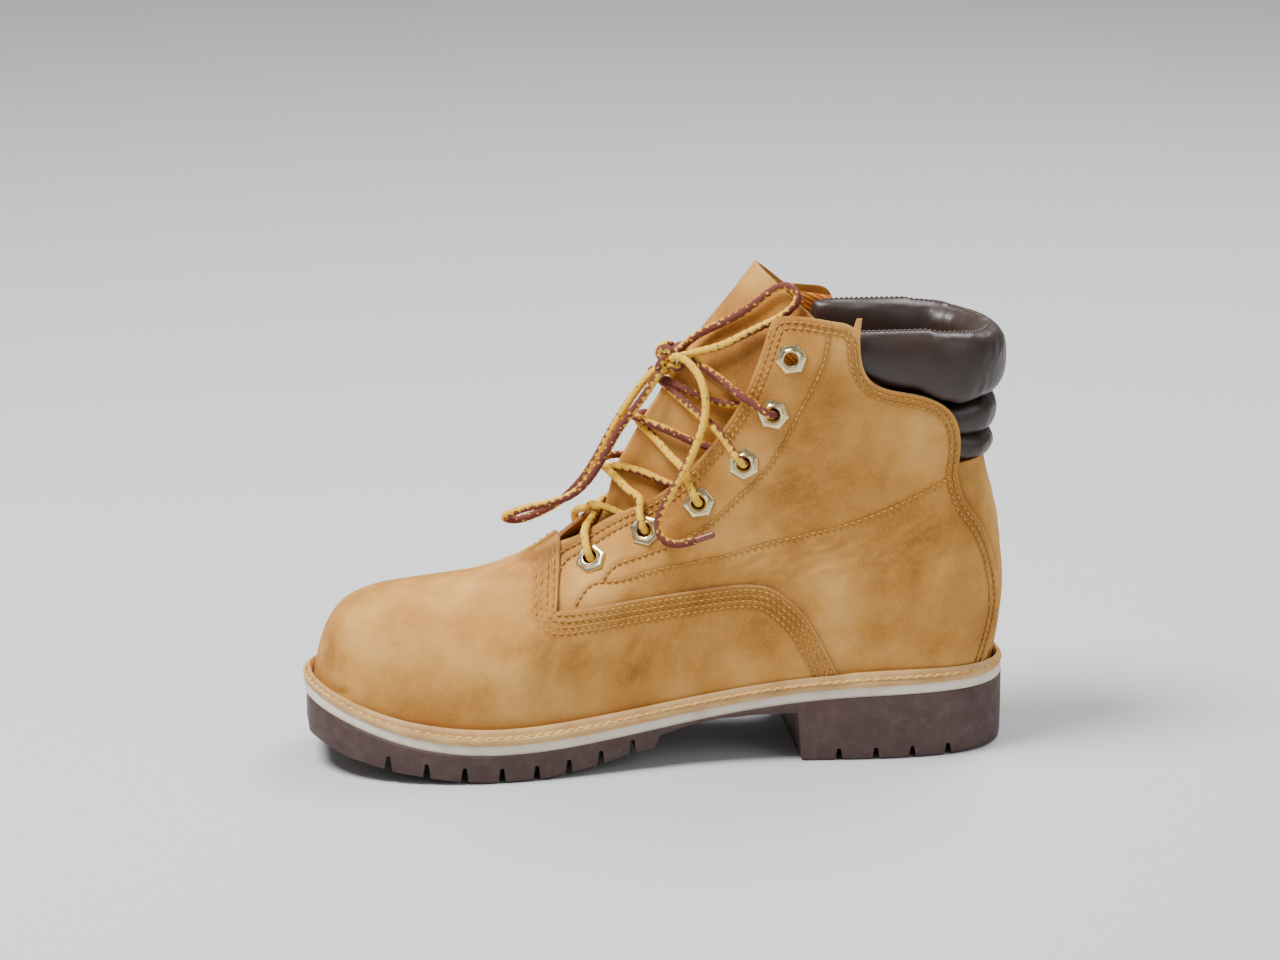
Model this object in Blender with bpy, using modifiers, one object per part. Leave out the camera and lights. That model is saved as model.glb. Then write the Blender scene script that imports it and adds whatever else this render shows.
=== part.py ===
"""Six-inch lace-up work boot with a steel toe cap, a padded three-roll collar and a lugged sole.

The boot stands on z = 0 with its toe towards -X. It is a right boot, so its medial side is at -Y.
All sizes below are in millimetres and are turned into metres when a mesh is made. The upper is one
surface, y = centre(x) +/- half_width(x, z), and every layer of it is that surface at its own depth.
"""

import math

import bmesh
import bpy
import numpy as np
from mathutils import Vector
from mathutils.bvhtree import BVHTree

MM = 0.001
MEDIAL = -1
LATERAL = 1
SIDE_NAMES = {MEDIAL: "medial", LATERAL: "lateral"}

# ---------------------------------------------------------------- driving sizes
SOLE_LENGTH = 305.0
TOE_X = -SOLE_LENGTH / 2
HEEL_X = SOLE_LENGTH / 2
GAP = 0.35
LEATHER = 1.5

# How deep each layer of the upper lies under the outermost surface
VAMP_DEPTH = 0.0
QUARTER_DEPTH = 2.5
CAP_DEPTH = 2.5
BACKSTAY_DEPTH = 4.9
LINING_DEPTH = 5.5
VAMP_LINING_DEPTH = 5.8
COUNTER_DEPTH = 7.2
GUSSET_DEPTH = 7.9
HEEL_LINING_DEPTH = 9.7
TONGUE_DEPTH = 13.3
COLLAR_LINING_DEPTH = 17.4

LINING_THICKNESS = 0.9
CAP_THICKNESS = 1.9
COUNTER_THICKNESS = 1.8
GUSSET_THICKNESS = 0.8
TONGUE_THICKNESS = 2.0

# Sole build, as heights above the outsole's top face
MIDSOLE_LIFT = GAP
MIDSOLE_THICKNESS = 4.0
UPPER_LIFT = MIDSOLE_LIFT + MIDSOLE_THICKNESS + GAP
FILLER_THICKNESS = 2.6
BOARD_LIFT = UPPER_LIFT + FILLER_THICKNESS + GAP
BOARD_THICKNESS = 2.6
INSIDE_LIFT = BOARD_LIFT + BOARD_THICKNESS + GAP
FOOTBED_THICKNESS = 4.0
SHANK_THICKNESS = 1.4

WELT_THICKNESS = 3.0
BEAD_WIDTH = 3.6
BEAD_HEIGHT = 3.2
WELT_CLEARANCE = 1.2

LACE_RADIUS = 1.7
EYELET_HOLE_RADIUS = 2.7
EYELET_BARREL_RADIUS = 3.2
EYELET_CUT_RADIUS = 3.6
EYELET_FLANGE_RADIUS = 7.0

# ---------------------------------------------------------------- outlines in side view (x, z)
FRONT_PROFILE = [
    (-148.5, 20), (-148, 34), (-146, 46), (-142.5, 57), (-136, 66), (-127, 71), (-112, 74.3),
    (-96, 76), (-78, 78.3), (-62, 82.5), (-50, 88.5), (-39, 97.5), (-27, 109.5), (-16, 125),
    (-6, 142.5), (5, 161), (17.5, 180), (28, 193), (38, 206), (44, 214), (52, 224.5),
]
BACK_PROFILE = [
    (151, 20), (153.6, 40), (156.2, 55), (157.2, 68), (156.4, 80), (154.4, 98), (151, 114),
    (148, 126), (147, 138), (148.5, 150), (151, 164), (152.5, 178), (153, 196),
]
OUTSOLE_TOP = [
    (TOE_X, 31), (-135, 24), (-115, 17.5), (-90, 13), (-65, 12), (-35, 13.5), (0, 17.5),
    (30, 22), (60, 26), (90, 28), (125, 28.5), (HEEL_X, 28.5),
]
FACING_EDGE = [
    (-49, 82), (-44, 89.5), (-35, 95.5), (-20, 105.5), (-8, 112), (3, 119.5), (14, 130),
    (25, 144), (34, 159), (40, 173), (45, 187),
]
QUARTER_TOP = [(45, 187), (48, 193), (54, 195), (72, 193.4), (80, 191), (83, 186)]
COLLAR_BORDER = [
    (83, 186), (84, 176), (88, 167.5), (96, 163), (106, 160.8), (115, 158), (122.5, 153),
    (127, 145), (128.2, 133), (127, 125),
]
BACKSTAY_SEAM = [(127, 125), (130, 113.3), (137, 102.8), (143, 90), (146.4, 76), (147, 62), (144.6, 50)]
WING_EDGE = [
    (-46, 70), (-29, 71.6), (-4, 74.3), (20, 77), (37, 78.2), (46, 76.5), (54, 71), (62, 62.5),
    (69, 50),
]
WING_END_X = 76.0
BACKSTAY_FOOT_X = 141.0
QUARTER_FOOT_X = -56.0
THROAT_TOP_X = -42.0

SOLE_OUTLINE = [
    (TOE_X, -5), (-149.5, 13), (-143, 27), (-132, 38), (-118, 46), (-98, 52), (-70, 54.5),
    (-35, 50.5), (0, 43), (40, 39), (80, 39), (115, 38), (140, 28), (HEEL_X, 0), (140, -28),
    (115, -38), (80, -39), (40, -37), (5, -39), (-20, -44), (-55, -52), (-80, -54.5), (-100, -53),
    (-118, -48.5), (-133, -41), (-143.5, -32), (-150, -20),
]
CENTRE_LINE = [
    (-150, -6), (-128, -1.6), (-100, -0.4), (-70, 0.6), (-35, 2.3), (0, 2), (40, 1), (80, 0), (158, 0),
]
FOOT_HALF_WIDTH = [
    (-150, 46), (-120, 46), (-95, 47), (-70, 48.5), (-35, 44), (0, 38), (40, 35.5), (80, 36),
    (120, 36), (158, 36),
]
SHAFT_HALF_WIDTH = [(-60, 40), (-20, 35), (20, 35), (60, 36.5), (100, 36.5), (158, 35)]

EYELETS = [(-29.6, 88.8), (-6.7, 101.5), (15.9, 114.2), (34.9, 131.4), (47.1, 153.3), (54.4, 177.6)]


# ---------------------------------------------------------------- curves
def bends(knots, values):
    """Second derivatives of the natural cubic spline through values at knots."""
    gap = np.diff(knots)
    system = np.eye(len(knots))
    load = np.zeros_like(values)
    for i in range(1, len(knots) - 1):
        system[i, i - 1 : i + 2] = gap[i - 1], 2 * (gap[i - 1] + gap[i]), gap[i]
        load[i] = 6 * ((values[i + 1] - values[i]) / gap[i] - (values[i] - values[i - 1]) / gap[i - 1])
    return np.linalg.solve(system, load)


def spline(knots, values, at):
    """The natural cubic spline through values at knots, read at each place in at."""
    knots = np.asarray(knots, float)
    values = np.asarray(values, float)
    at = np.clip(np.asarray(at, float), knots[0], knots[-1])
    i = np.clip(np.searchsorted(knots, at, side="right") - 1, 0, len(knots) - 2)
    bend = bends(knots, values)
    step = knots[i + 1] - knots[i]
    near = (knots[i + 1] - at) / step
    if values.ndim == 2:
        near = near[..., None]
        step = step[..., None]
    far = 1 - near
    curved = (near**3 - near) * bend[i] + (far**3 - far) * bend[i + 1]
    return near * values[i] + far * values[i + 1] + curved * step**2 / 6


def dense(points, count=240):
    """Many points along the smooth curve through a few."""
    points = np.asarray(points, float)
    knots = np.concatenate([[0], np.cumsum(np.linalg.norm(np.diff(points, axis=0), axis=1))])
    return spline(knots, points, np.linspace(0, knots[-1], count))


def closed_loop(points, count):
    """Many points round a smooth closed curve, starting at its first point."""
    reach = 3
    padded = np.asarray(points[-reach:] + points + points[: reach + 1], float)
    knots = np.concatenate([[0], np.cumsum(np.linalg.norm(np.diff(padded, axis=0), axis=1))])
    return spline(knots, padded, np.linspace(knots[reach], knots[reach + len(points)], count))


def along(points, fractions):
    """Points at the given fractions of a polyline's length."""
    length = np.concatenate([[0], np.cumsum(np.linalg.norm(np.diff(points, axis=0), axis=1))])
    at = np.asarray(fractions) * length[-1]
    return np.stack([np.interp(at, length, points[:, k]) for k in range(points.shape[1])], axis=-1)


def step(value, low, high):
    """A smooth step from 0 at low to 1 at high."""
    t = np.clip((np.asarray(value, float) - low) / (high - low), 0, 1)
    return t * t * (3 - 2 * t)


def table(points, at):
    points = np.asarray(points, float)
    return spline(points[:, 0], points[:, 1], at)


FRONT = dense(FRONT_PROFILE, 400)
BACK = dense(BACK_PROFILE, 200)


# ---------------------------------------------------------------- the upper's surface
FULLNESS = 2.1
TOE_ROUNDING = 44.0
SHAFT_ROUNDING = 30.0
HEEL_ROUNDING = 35.0
FACING_NARROWING = 0.2
HEEL_SWELL = 2.0
COLLAR_FLARE = 4.5


def centre(x):
    return table(CENTRE_LINE, x)


def front_x(z):
    return np.interp(z, FRONT[:, 1], FRONT[:, 0])


def front_z(x):
    """Height of the front profile, carried on steeply past its end."""
    beyond = np.maximum(np.asarray(x, float) - FRONT[-1, 0], 0)
    return np.interp(x, FRONT[:, 0], FRONT[:, 1]) + 1.3 * beyond


def back_x(z):
    return np.interp(z, BACK[:, 1], BACK[:, 0])


def dome(t):
    """Quarter of a superellipse: 0 at t = 0, full from t = 1 on."""
    return (1 - (1 - np.clip(t, 0, 1)) ** FULLNESS) ** (1 / FULLNESS)


def full_width(x, z):
    """Half-width of the boot away from its front and back curves."""
    high = step(z, 45, 115)
    width = table(FOOT_HALF_WIDTH, x) * (1 - high) + table(SHAFT_HALF_WIDTH, x) * high
    width = width + HEEL_SWELL * step(x, 20, 90) * np.exp(-(((z - 60) / 24) ** 2))
    width = width + COLLAR_FLARE * step(z, 135, 190)
    narrow = 1 - step((x - front_x(z)) / 62, 0, 1)
    return width * (1 - FACING_NARROWING * narrow * step(z, 70, 110))


def half_width(x, z, depth):
    """Half-width of the layer that lies at a depth under the outermost surface."""
    x = np.asarray(x, float)
    z = np.asarray(z, float)
    rounding = TOE_ROUNDING + (SHAFT_ROUNDING - TOE_ROUNDING) * step(z, 70, 120)
    front = dome((from_front(x, z) - depth) / (rounding - depth))
    back = dome((back_x(z) - x - depth) / (HEEL_ROUNDING - depth))
    return np.maximum(full_width(x, z) - depth, 0) * front * back


def place(points, side, depth):
    """Points (x, z) in side view, carried out to one side of the layer at a depth."""
    x = points[..., 0]
    z = points[..., 1]
    y = centre(x) + side * half_width(x, z, depth)
    return np.stack([x, y, z], axis=-1)


def from_front(x, z):
    """Distance from the front profile, by the rise and the run to it."""
    rise = np.maximum(front_z(x) - z, 1e-6)
    run = np.maximum(x - front_x(z), 1e-6)
    return rise * run / np.hypot(rise, run)


def ridge(depth_at, start, end, fractions):
    """Points (x, z) of a layer's front ridge between two x positions of the outermost profile.

    depth_at gives the layer's depth at heights z.
    """
    part = FRONT[(FRONT[:, 0] >= start) & (FRONT[:, 0] <= end)]
    ends = [[start, front_z(start)], [end, front_z(end)]]
    part = np.vstack([ends[:1], part, ends[1:]])
    points = along(part, fractions)
    ahead = along(part, np.clip(np.asarray(fractions) + 0.004, 0, 1))
    behind = along(part, np.clip(np.asarray(fractions) - 0.004, 0, 1))
    tangent = ahead - behind
    tangent /= np.linalg.norm(tangent, axis=-1, keepdims=True)
    inward = np.stack([tangent[:, 1], -tangent[:, 0]], axis=-1)
    reach = depth_at(points[:, 1])
    for _ in range(12):
        at = points + inward * reach[:, None]
        reach = reach + depth_at(at[:, 1]) - from_front(at[:, 0], at[:, 1])
    return points + inward * reach[:, None]


def level(depth):
    """A layer that keeps one depth at every height."""
    return lambda z: np.full(np.shape(z), float(depth))


def outsole_top(x):
    return table(OUTSOLE_TOP, x)


def lifted(xs, lift):
    """Points (x, z) along the sole, lifted above the outsole's top face."""
    xs = np.asarray(xs, float)
    return np.stack([xs, outsole_top(xs) + lift], axis=-1)


def patch(bottom, top, left, right, fractions):
    """Grid of (x, z) points between four edge curves, rows from bottom to top.

    The columns stand at the given fractions of the way from left to right.
    """
    v = np.linspace(0, 1, len(left))[:, None, None]
    u = np.asarray(fractions)[None, :, None]
    across = left[:, None] * (1 - u) + right[:, None] * u
    up = bottom[None] * (1 - v) + top[None] * v
    corners = (bottom[0] * (1 - u) + bottom[-1] * u) * (1 - v) + (top[0] * (1 - u) + top[-1] * u) * v
    return across + up - corners


def between(low, high, fractions):
    """Rows of points between two curves at the given fractions."""
    f = np.asarray(fractions)[:, None, None]
    return low[None] * (1 - f) + high[None] * f


# ---------------------------------------------------------------- Blender helpers
for old in list(bpy.data.objects):
    bpy.data.objects.remove(old, do_unlink=True)

boot = bpy.data.collections.new("work_boot")
bpy.context.scene.collection.children.link(boot)
cutters = bpy.data.collections.new("cutters")
bpy.context.scene.collection.children.link(cutters)


def material(name, colour, roughness, metallic=0.0):
    made = bpy.data.materials.new(name)
    made.use_nodes = True
    shader = made.node_tree.nodes["Principled BSDF"]
    shader.inputs["Base Color"].default_value = (*colour, 1)
    shader.inputs["Roughness"].default_value = roughness
    shader.inputs["Metallic"].default_value = metallic
    return made


NUBUCK = material("wheat_nubuck", (0.60, 0.34, 0.12), 0.85)
COLLAR_LEATHER = material("brown_collar_leather", (0.035, 0.02, 0.02), 0.45)
TWILL = material("orange_twill", (0.70, 0.23, 0.03), 0.9)
SOLE_RUBBER = material("brown_sole_rubber", (0.10, 0.05, 0.045), 0.6)
MIDSOLE_RUBBER = material("ivory_midsole", (0.80, 0.72, 0.60), 0.6)
WELT_LEATHER = material("tan_welt", (0.62, 0.36, 0.14), 0.7)
STEEL = material("pressed_steel", (0.45, 0.45, 0.46), 0.35, 1.0)
EYELET_METAL = material("pale_brass", (0.80, 0.74, 0.55), 0.25, 1.0)
LACE_YARN = material("yellow_lace", (0.80, 0.52, 0.08), 0.85)
LACE_BROWN = material("brown_lace", (0.22, 0.06, 0.04), 0.85)
FIBREBOARD = material("fibreboard", (0.35, 0.26, 0.17), 0.9)
CORK = material("cork", (0.42, 0.27, 0.15), 0.95)
FOAM = material("footbed_foam", (0.10, 0.09, 0.09), 0.9)
GASKET = material("gasket_plastic", (0.05, 0.05, 0.05), 0.5)


def add_object(name, mesh, finish, collection=boot, smooth=True):
    obj = bpy.data.objects.new(name, mesh)
    collection.objects.link(obj)
    if finish:
        mesh.materials.append(finish)
    if smooth:
        mesh.shade_smooth()
        mesh.set_sharp_from_angle(angle=math.radians(35))
    return obj


def to_mesh(name, bm, weld=0.01):
    """A mesh in metres from a bmesh in millimetres, with points that coincide welded."""
    bmesh.ops.remove_doubles(bm, verts=bm.verts, dist=weld)
    bmesh.ops.scale(bm, vec=(MM, MM, MM), verts=bm.verts)
    mesh = bpy.data.meshes.new(name)
    bm.to_mesh(mesh)
    bm.free()
    return mesh


def add_grid(bm, points, closed=False, flipped=False):
    """Quads over a grid of points (rows, columns, 3)."""
    verts = [[bm.verts.new(p) for p in row] for row in points]
    columns = len(verts[0])
    for low, high in zip(verts, verts[1:]):
        for i in range(columns if closed else columns - 1):
            j = (i + 1) % columns
            corners = [low[i], low[j], high[j], high[i]]
            bm.faces.new(reversed(corners) if flipped else corners)
    return verts


EDGE_INDEX = {
    "top": (slice(-1, None), slice(None)),
    "left": (slice(None), slice(0, 1)),
    "right": (slice(None), slice(-1, None)),
}


def shell(name, grids, depth, thickness, finish, sides=(MEDIAL, LATERAL)):
    """A layer of the upper: side-view grids carried out to the layer's depth, then given thickness.

    Each grid is (points, edges): edges names those of its edges that lie on the centre line.
    """
    bm = bmesh.new()
    for side in sides:
        for points, edges in grids:
            placed = place(points, side, depth)
            for edge in edges:
                rows_columns = EDGE_INDEX[edge]
                placed[rows_columns][..., 1] = centre(points[rows_columns][..., 0])
            add_grid(bm, placed, flipped=side == LATERAL)
    obj = add_object(name, to_mesh(name, bm), finish)
    add_thickness(obj, thickness)
    return obj


def add_thickness(obj, thickness):
    solid = obj.modifiers.new("thickness", "SOLIDIFY")
    solid.thickness = thickness * MM
    solid.offset = -1
    solid.use_even_offset = False
    return solid


def cut(obj, cutter):
    cutter.hide_render = True
    cutter.display_type = "WIRE"
    boolean = obj.modifiers.new("cut_" + cutter.name, "BOOLEAN")
    boolean.operation = "DIFFERENCE"
    boolean.solver = "EXACT"
    boolean.object = cutter


def loft(name, rings, finish, collection=boot):
    """A closed body through rings of points, its two end rings filled."""
    bm = bmesh.new()
    verts = add_grid(bm, rings, closed=True)
    bm.faces.new(reversed(verts[0]))
    bm.faces.new(verts[-1])
    bmesh.ops.remove_doubles(bm, verts=bm.verts, dist=0.001)
    bmesh.ops.recalc_face_normals(bm, faces=bm.faces)
    return add_object(name, to_mesh(name, bm, 0.001), finish, collection)


def tube(name, points, radius, finish, resolution=2):
    """A round cord along points given in millimetres."""
    curve = bpy.data.curves.new(name, "CURVE")
    curve.dimensions = "3D"
    curve.bevel_depth = radius * MM
    curve.bevel_resolution = resolution
    curve.use_fill_caps = True
    curve.render_resolution_u = 0
    line = curve.splines.new("POLY")
    line.points.add(len(points) - 1)
    for point, place_mm in zip(line.points, points):
        point.co = (*(np.asarray(place_mm) * MM), 1)
    curve.materials.append(finish)
    obj = bpy.data.objects.new(name, curve)
    boot.objects.link(obj)
    return obj


# ---------------------------------------------------------------- sole
OUTLINE = closed_loop(SOLE_OUTLINE, 900)
HEEL_ROW = int(np.argmax(OUTLINE[:, 0]))
LATERAL_EDGE = OUTLINE[: HEEL_ROW + 1]
MEDIAL_EDGE = OUTLINE[HEEL_ROW:][::-1]


def sole_edges(xs, inset=0.0):
    """Medial and lateral y of the sole's outline at each x, drawn in by an inset."""
    lateral = np.interp(xs, LATERAL_EDGE[:, 0], LATERAL_EDGE[:, 1])
    medial = np.interp(xs, MEDIAL_EDGE[:, 0], MEDIAL_EDGE[:, 1])
    middle = (lateral + medial) / 2
    half = np.maximum((lateral - medial) / 2 - inset, 0.6)
    return middle - half, middle + half


def stations(start, end, count):
    """Places along X, closer together towards both ends."""
    t = np.linspace(0, math.pi, count)
    return (start + end) / 2 - (end - start) / 2 * np.cos(t)


def slab(name, xs, edges, bottoms, tops, finish):
    """A flat body from cross strips: at each x, its two edges and its bottom and top heights."""
    low, high = edges
    rings = []
    for x, y0, y1, z0, z1 in zip(xs, low, high, bottoms, tops):
        rings.append([(x, y0, z0), (x, y1, z0), (x, y1, z1), (x, y0, z1)])
    return loft(name, rings, finish)


TREAD = [
    (TOE_X + 1, 15), (-135, 9), (-115, 4.5), (-95, 1.5), (-76, 0), (-54, 0), (-41, 1.5), (-27, 4),
    (-13, 7.5), (-4, 8.5), (-2, 14), (10, 17.5), (24, 19.8), (40, 20.8), (58, 21.3), (60, 0),
]
HEEL_TREAD_END = 150.0


def add_outsole():
    tread_x = [x for x, z in TREAD]
    tread_z = [z for x, z in TREAD]
    spaced = stations(TOE_X + 0.5, HEEL_X - 0.5, 33)
    xs = [x for x in spaced[1:-1] if min(abs(x - t) for t in tread_x[1:]) > 2.5]
    xs = np.array(sorted([spaced[0], *xs, *tread_x[1:], spaced[-1]]))
    bottoms = np.interp(xs, tread_x, tread_z)
    bottoms = np.where(xs > HEEL_TREAD_END, xs - HEEL_TREAD_END, bottoms)
    low, high = sole_edges(xs)
    low_in, high_in = sole_edges(xs, 1.6)
    tops = outsole_top(xs)
    rings = []
    for i, x in enumerate(xs):
        shoulder = bottoms[i] * 0.35 + tops[i] * 0.65
        rings.append([
            (x, low_in[i], bottoms[i]), (x, high_in[i], bottoms[i]), (x, high[i], shoulder),
            (x, high[i], tops[i]), (x, low[i], tops[i]), (x, low[i], shoulder),
        ])
    outsole = loft("outsole", rings, SOLE_RUBBER)
    groove_cutter = add_groove_cutter()
    cut(outsole, groove_cutter)
    return outsole


FOREFOOT_GROOVES = [-119, -103, -87, -71, -56, -42, -28, -14]
HEEL_GROOVES = [76, 92, 108, 124]
GROOVE_WIDTH = 3.4
FOREFOOT_GROOVE_DEPTH = 6.5
HEEL_GROOVE_DEPTH = 5.0


def tread_height(x):
    return float(np.interp(x, [p[0] for p in TREAD], [p[1] for p in TREAD]))


def add_groove_cutter():
    """Tapered bars across the forefoot and the heel, as one object."""
    bm = bmesh.new()
    bars = [(x, tread_height(x), FOREFOOT_GROOVE_DEPTH) for x in FOREFOOT_GROOVES]
    bars += [(x, 0.0, HEEL_GROOVE_DEPTH) for x in HEEL_GROOVES]
    half = GROOVE_WIDTH / 2
    for x, floor, depth in bars:
        wedge = [
            (x - half, floor - 4), (x + half, floor - 4), (x + half, floor),
            (x + half * 0.45, floor + depth), (x - half * 0.45, floor + depth), (x - half, floor),
        ]
        sheet = [[(a, y, z) for a, z in wedge] for y in (-70, 70)]
        verts = add_grid(bm, sheet, closed=True)
        bm.faces.new(reversed(verts[0]))
        bm.faces.new(verts[-1])
    bmesh.ops.recalc_face_normals(bm, faces=bm.faces)
    return add_object("groove_cutter", to_mesh("groove_cutter", bm, 0.0001), None, cutters, smooth=False)


def add_midsole():
    xs = stations(TOE_X + 0.8, HEEL_X - 0.8, 33)
    bottoms = outsole_top(xs) + MIDSOLE_LIFT
    slab("midsole", xs, sole_edges(xs, 0.4), bottoms, bottoms + MIDSOLE_THICKNESS, MIDSOLE_RUBBER)


def outer_depth(x):
    """Depth of whichever layer is outermost along the feather line."""
    behind_wing = step(x, WING_END_X - 2, WING_END_X + 8)
    behind_seam = step(x, BACKSTAY_FOOT_X + 4, BACKSTAY_FOOT_X + 9)
    return QUARTER_DEPTH * behind_wing + (BACKSTAY_DEPTH - QUARTER_DEPTH) * behind_seam


def feather_outline(count):
    """Closed outline (x, y) of the upper where it meets the welt, starting at the toe."""
    fine = np.linspace(0, 1, 500) ** 2
    mid = 0.0
    toe_height = outsole_top(TOE_X) + UPPER_LIFT
    heel_height = outsole_top(HEEL_X) + UPPER_LIFT
    toe = front_x(toe_height)
    heel = back_x(heel_height) - BACKSTAY_DEPTH
    xs = np.concatenate([toe + (mid - toe) * fine, heel + (mid - heel) * fine[::-1][1:]])
    heights = [outsole_top(xs) + UPPER_LIFT + rise for rise in (0, 3.5, 7)]
    half = np.max([half_width(xs, z, outer_depth(xs)) for z in heights], axis=0)
    half[0] = 0
    half[-1] = 0
    lateral = np.stack([xs, centre(xs) + half], axis=-1)
    medial = np.stack([xs, centre(xs) - half], axis=-1)[::-1]
    closed = np.vstack([lateral, medial[1:]])
    return along(closed, np.arange(count) / count)


def outward(loop):
    """Outward unit normals of a closed loop that runs toe, lateral side, heel, medial side."""
    tangent = np.roll(loop, -1, axis=0) - np.roll(loop, 1, axis=0)
    tangent /= np.linalg.norm(tangent, axis=1, keepdims=True)
    return np.stack([-tangent[:, 1], tangent[:, 0]], axis=-1)


def add_welt():
    count = 68
    inner = feather_outline(count)
    inner = inner + outward(inner) * WELT_CLEARANCE
    loop = np.vstack([LATERAL_EDGE, MEDIAL_EDGE[::-1]])
    outer = along(loop, np.arange(count) / count)
    rings = []
    for (ix, iy), (ox, oy) in zip(inner, outer):
        across = np.array([ox - ix, oy - iy])
        width = np.linalg.norm(across)
        across = across / width
        bead = min(BEAD_WIDTH, width * 0.6)
        floor = outsole_top(ox) + MIDSOLE_LIFT + MIDSOLE_THICKNESS + GAP
        floor_in = outsole_top(ix) + MIDSOLE_LIFT + MIDSOLE_THICKNESS + GAP
        ledge = floor_in + WELT_THICKNESS
        shoulder = ledge + BEAD_HEIGHT * 0.7
        section = [
            (0, floor_in), (width - 0.3, floor), (width - 0.3, floor + WELT_THICKNESS),
            (bead + 0.3, ledge), (bead, shoulder), (bead * 0.5, ledge + BEAD_HEIGHT), (0.2, shoulder),
        ]
        rings.append([(ix + across[0] * a, iy + across[1] * a, z) for a, z in section])
    bm = bmesh.new()
    add_grid(bm, rings + rings[:1], closed=True)
    bmesh.ops.remove_doubles(bm, verts=bm.verts, dist=0.001)
    bmesh.ops.recalc_face_normals(bm, faces=bm.faces)
    add_object("welt", to_mesh("welt", bm, 0.001), WELT_LEATHER)


def inner_slab(name, start, end, lift, thickness, depth, finish, count=21):
    """A flat body inside the upper, between the inner faces of the layer at a depth."""
    xs = stations(start, end, count)
    bottoms = outsole_top(xs) + lift
    tops = bottoms + thickness
    half = np.minimum(half_width(xs, bottoms, depth), half_width(xs, tops, depth))
    half = np.maximum(half, 0.8)
    slab(name, xs, (centre(xs) - half, centre(xs) + half), bottoms, tops, finish)


def add_inner_sole():
    inside = BACKSTAY_DEPTH + LEATHER + 1.0
    toe = TOE_X + 14
    heel = HEEL_X - 8
    inner_slab("cork_filler", toe, -22, UPPER_LIFT, FILLER_THICKNESS, inside, CORK)
    inner_slab("heel_filler", 88, heel, UPPER_LIFT, FILLER_THICKNESS, inside, CORK, 13)
    shank_x = np.linspace(-19, 85, 9)
    shank_z = outsole_top(shank_x) + UPPER_LIFT + 0.5
    half = np.array([5, 8, 8, 8, 8, 8, 8, 8, 5])
    shank_edges = (centre(shank_x) - half, centre(shank_x) + half)
    slab("steel_shank", shank_x, shank_edges, shank_z, shank_z + SHANK_THICKNESS, STEEL)
    inner_slab("insole_board", toe, heel, BOARD_LIFT, BOARD_THICKNESS, inside, FIBREBOARD)
    footbed_depth = HEEL_LINING_DEPTH + LINING_THICKNESS + 0.8
    inner_slab("footbed", toe + 5, heel - 5, INSIDE_LIFT, FOOTBED_THICKNESS, footbed_depth, FOAM)


# ---------------------------------------------------------------- upper: vamp, cap and linings
POLE_Z = outsole_top(-148.0) + UPPER_LIFT


def toe_fan(depth, bottom_end_x, ridge_end_x, lift, columns, rows):
    """Grid that fans out from the toe: feather line at the bottom, front ridge at the top."""
    forward = np.linspace(0, 1, columns) ** 1.6
    start = front_x(outsole_top(-147.5) + lift) + depth
    low = lifted(start + (bottom_end_x - start) * forward, lift)
    high = ridge(level(depth), front_x(low[0, 1]), ridge_end_x, forward)
    low[0] = high[0]
    return between(low, high, 1 - np.linspace(1, 0, rows) ** 2)


def add_vamp():
    """Vamp: a lower block up to the wing line, and an upper block from there over the ridge."""
    forward = np.linspace(0, 1, 13) ** 1.5
    start = front_x(POLE_Z)
    low_forward = lifted(start + (-48 - start) * forward, UPPER_LIFT)
    crown = ridge(level(VAMP_DEPTH), start, THROAT_TOP_X, forward)
    low_forward[0] = crown[0]
    wing_line = dense([tuple(crown[0]), (-138, 47), (-115, 57), (-85, 62), WING_EDGE[0]])
    line_forward = along(wing_line, forward)
    wing = np.linspace(0, 1, 9)[1:]
    wing_edge = dense(WING_EDGE + [(WING_END_X, float(outsole_top(WING_END_X)) + UPPER_LIFT + 4)])
    low_wing = lifted(-48 + (WING_END_X - 1 + 48) * wing, UPPER_LIFT)
    line_wing = along(wing_edge, wing)
    low = np.vstack([low_forward, low_wing])
    line = np.vstack([line_forward, line_wing])
    lower = between(low, line, np.linspace(0, 1, 6))
    upper = between(line_forward, crown, 1 - np.linspace(1, 0, 7) ** 2)
    shell("vamp", [(lower, ["left"]), (upper, ["left", "top"])], VAMP_DEPTH, LEATHER, NUBUCK)


def add_toe_cap():
    grid = toe_fan(CAP_DEPTH, -94, -98, INSIDE_LIFT, 9, 8)
    shell("steel_toe_cap", [(grid, ["left", "top"])], CAP_DEPTH, CAP_THICKNESS, STEEL)


def add_cap_gasket():
    """Strip that bridges the cap's rear edge and the lining."""
    rows = 1 - np.linspace(1, 0, 9) ** 2
    front_low = lifted([-92.5], INSIDE_LIFT)
    rear_low = lifted([-82], INSIDE_LIFT)
    front_high = ridge(level(CAP_DEPTH), -150, -96.5, [1.0])
    rear_high = ridge(level(CAP_DEPTH), -150, -86, [1.0])
    low = np.vstack([front_low, rear_low])
    high = np.vstack([front_high, rear_high])
    shell("toe_cap_gasket", [(between(low, high, rows), ["top"])], CAP_DEPTH, 1.2, GASKET)


def add_vamp_lining():
    grid = toe_fan(VAMP_LINING_DEPTH, -45, -60, INSIDE_LIFT, 12, 9)
    shell("vamp_lining", [(grid, ["left", "top"])], VAMP_LINING_DEPTH, LINING_THICKNESS, TWILL)


# ---------------------------------------------------------------- upper: quarters
def closer_behind(columns):
    """Fractions from front to back that lie closer together round the heel."""
    t = np.linspace(0, 1, columns)
    return t + 0.05 * np.sin(math.pi * t)


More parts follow.
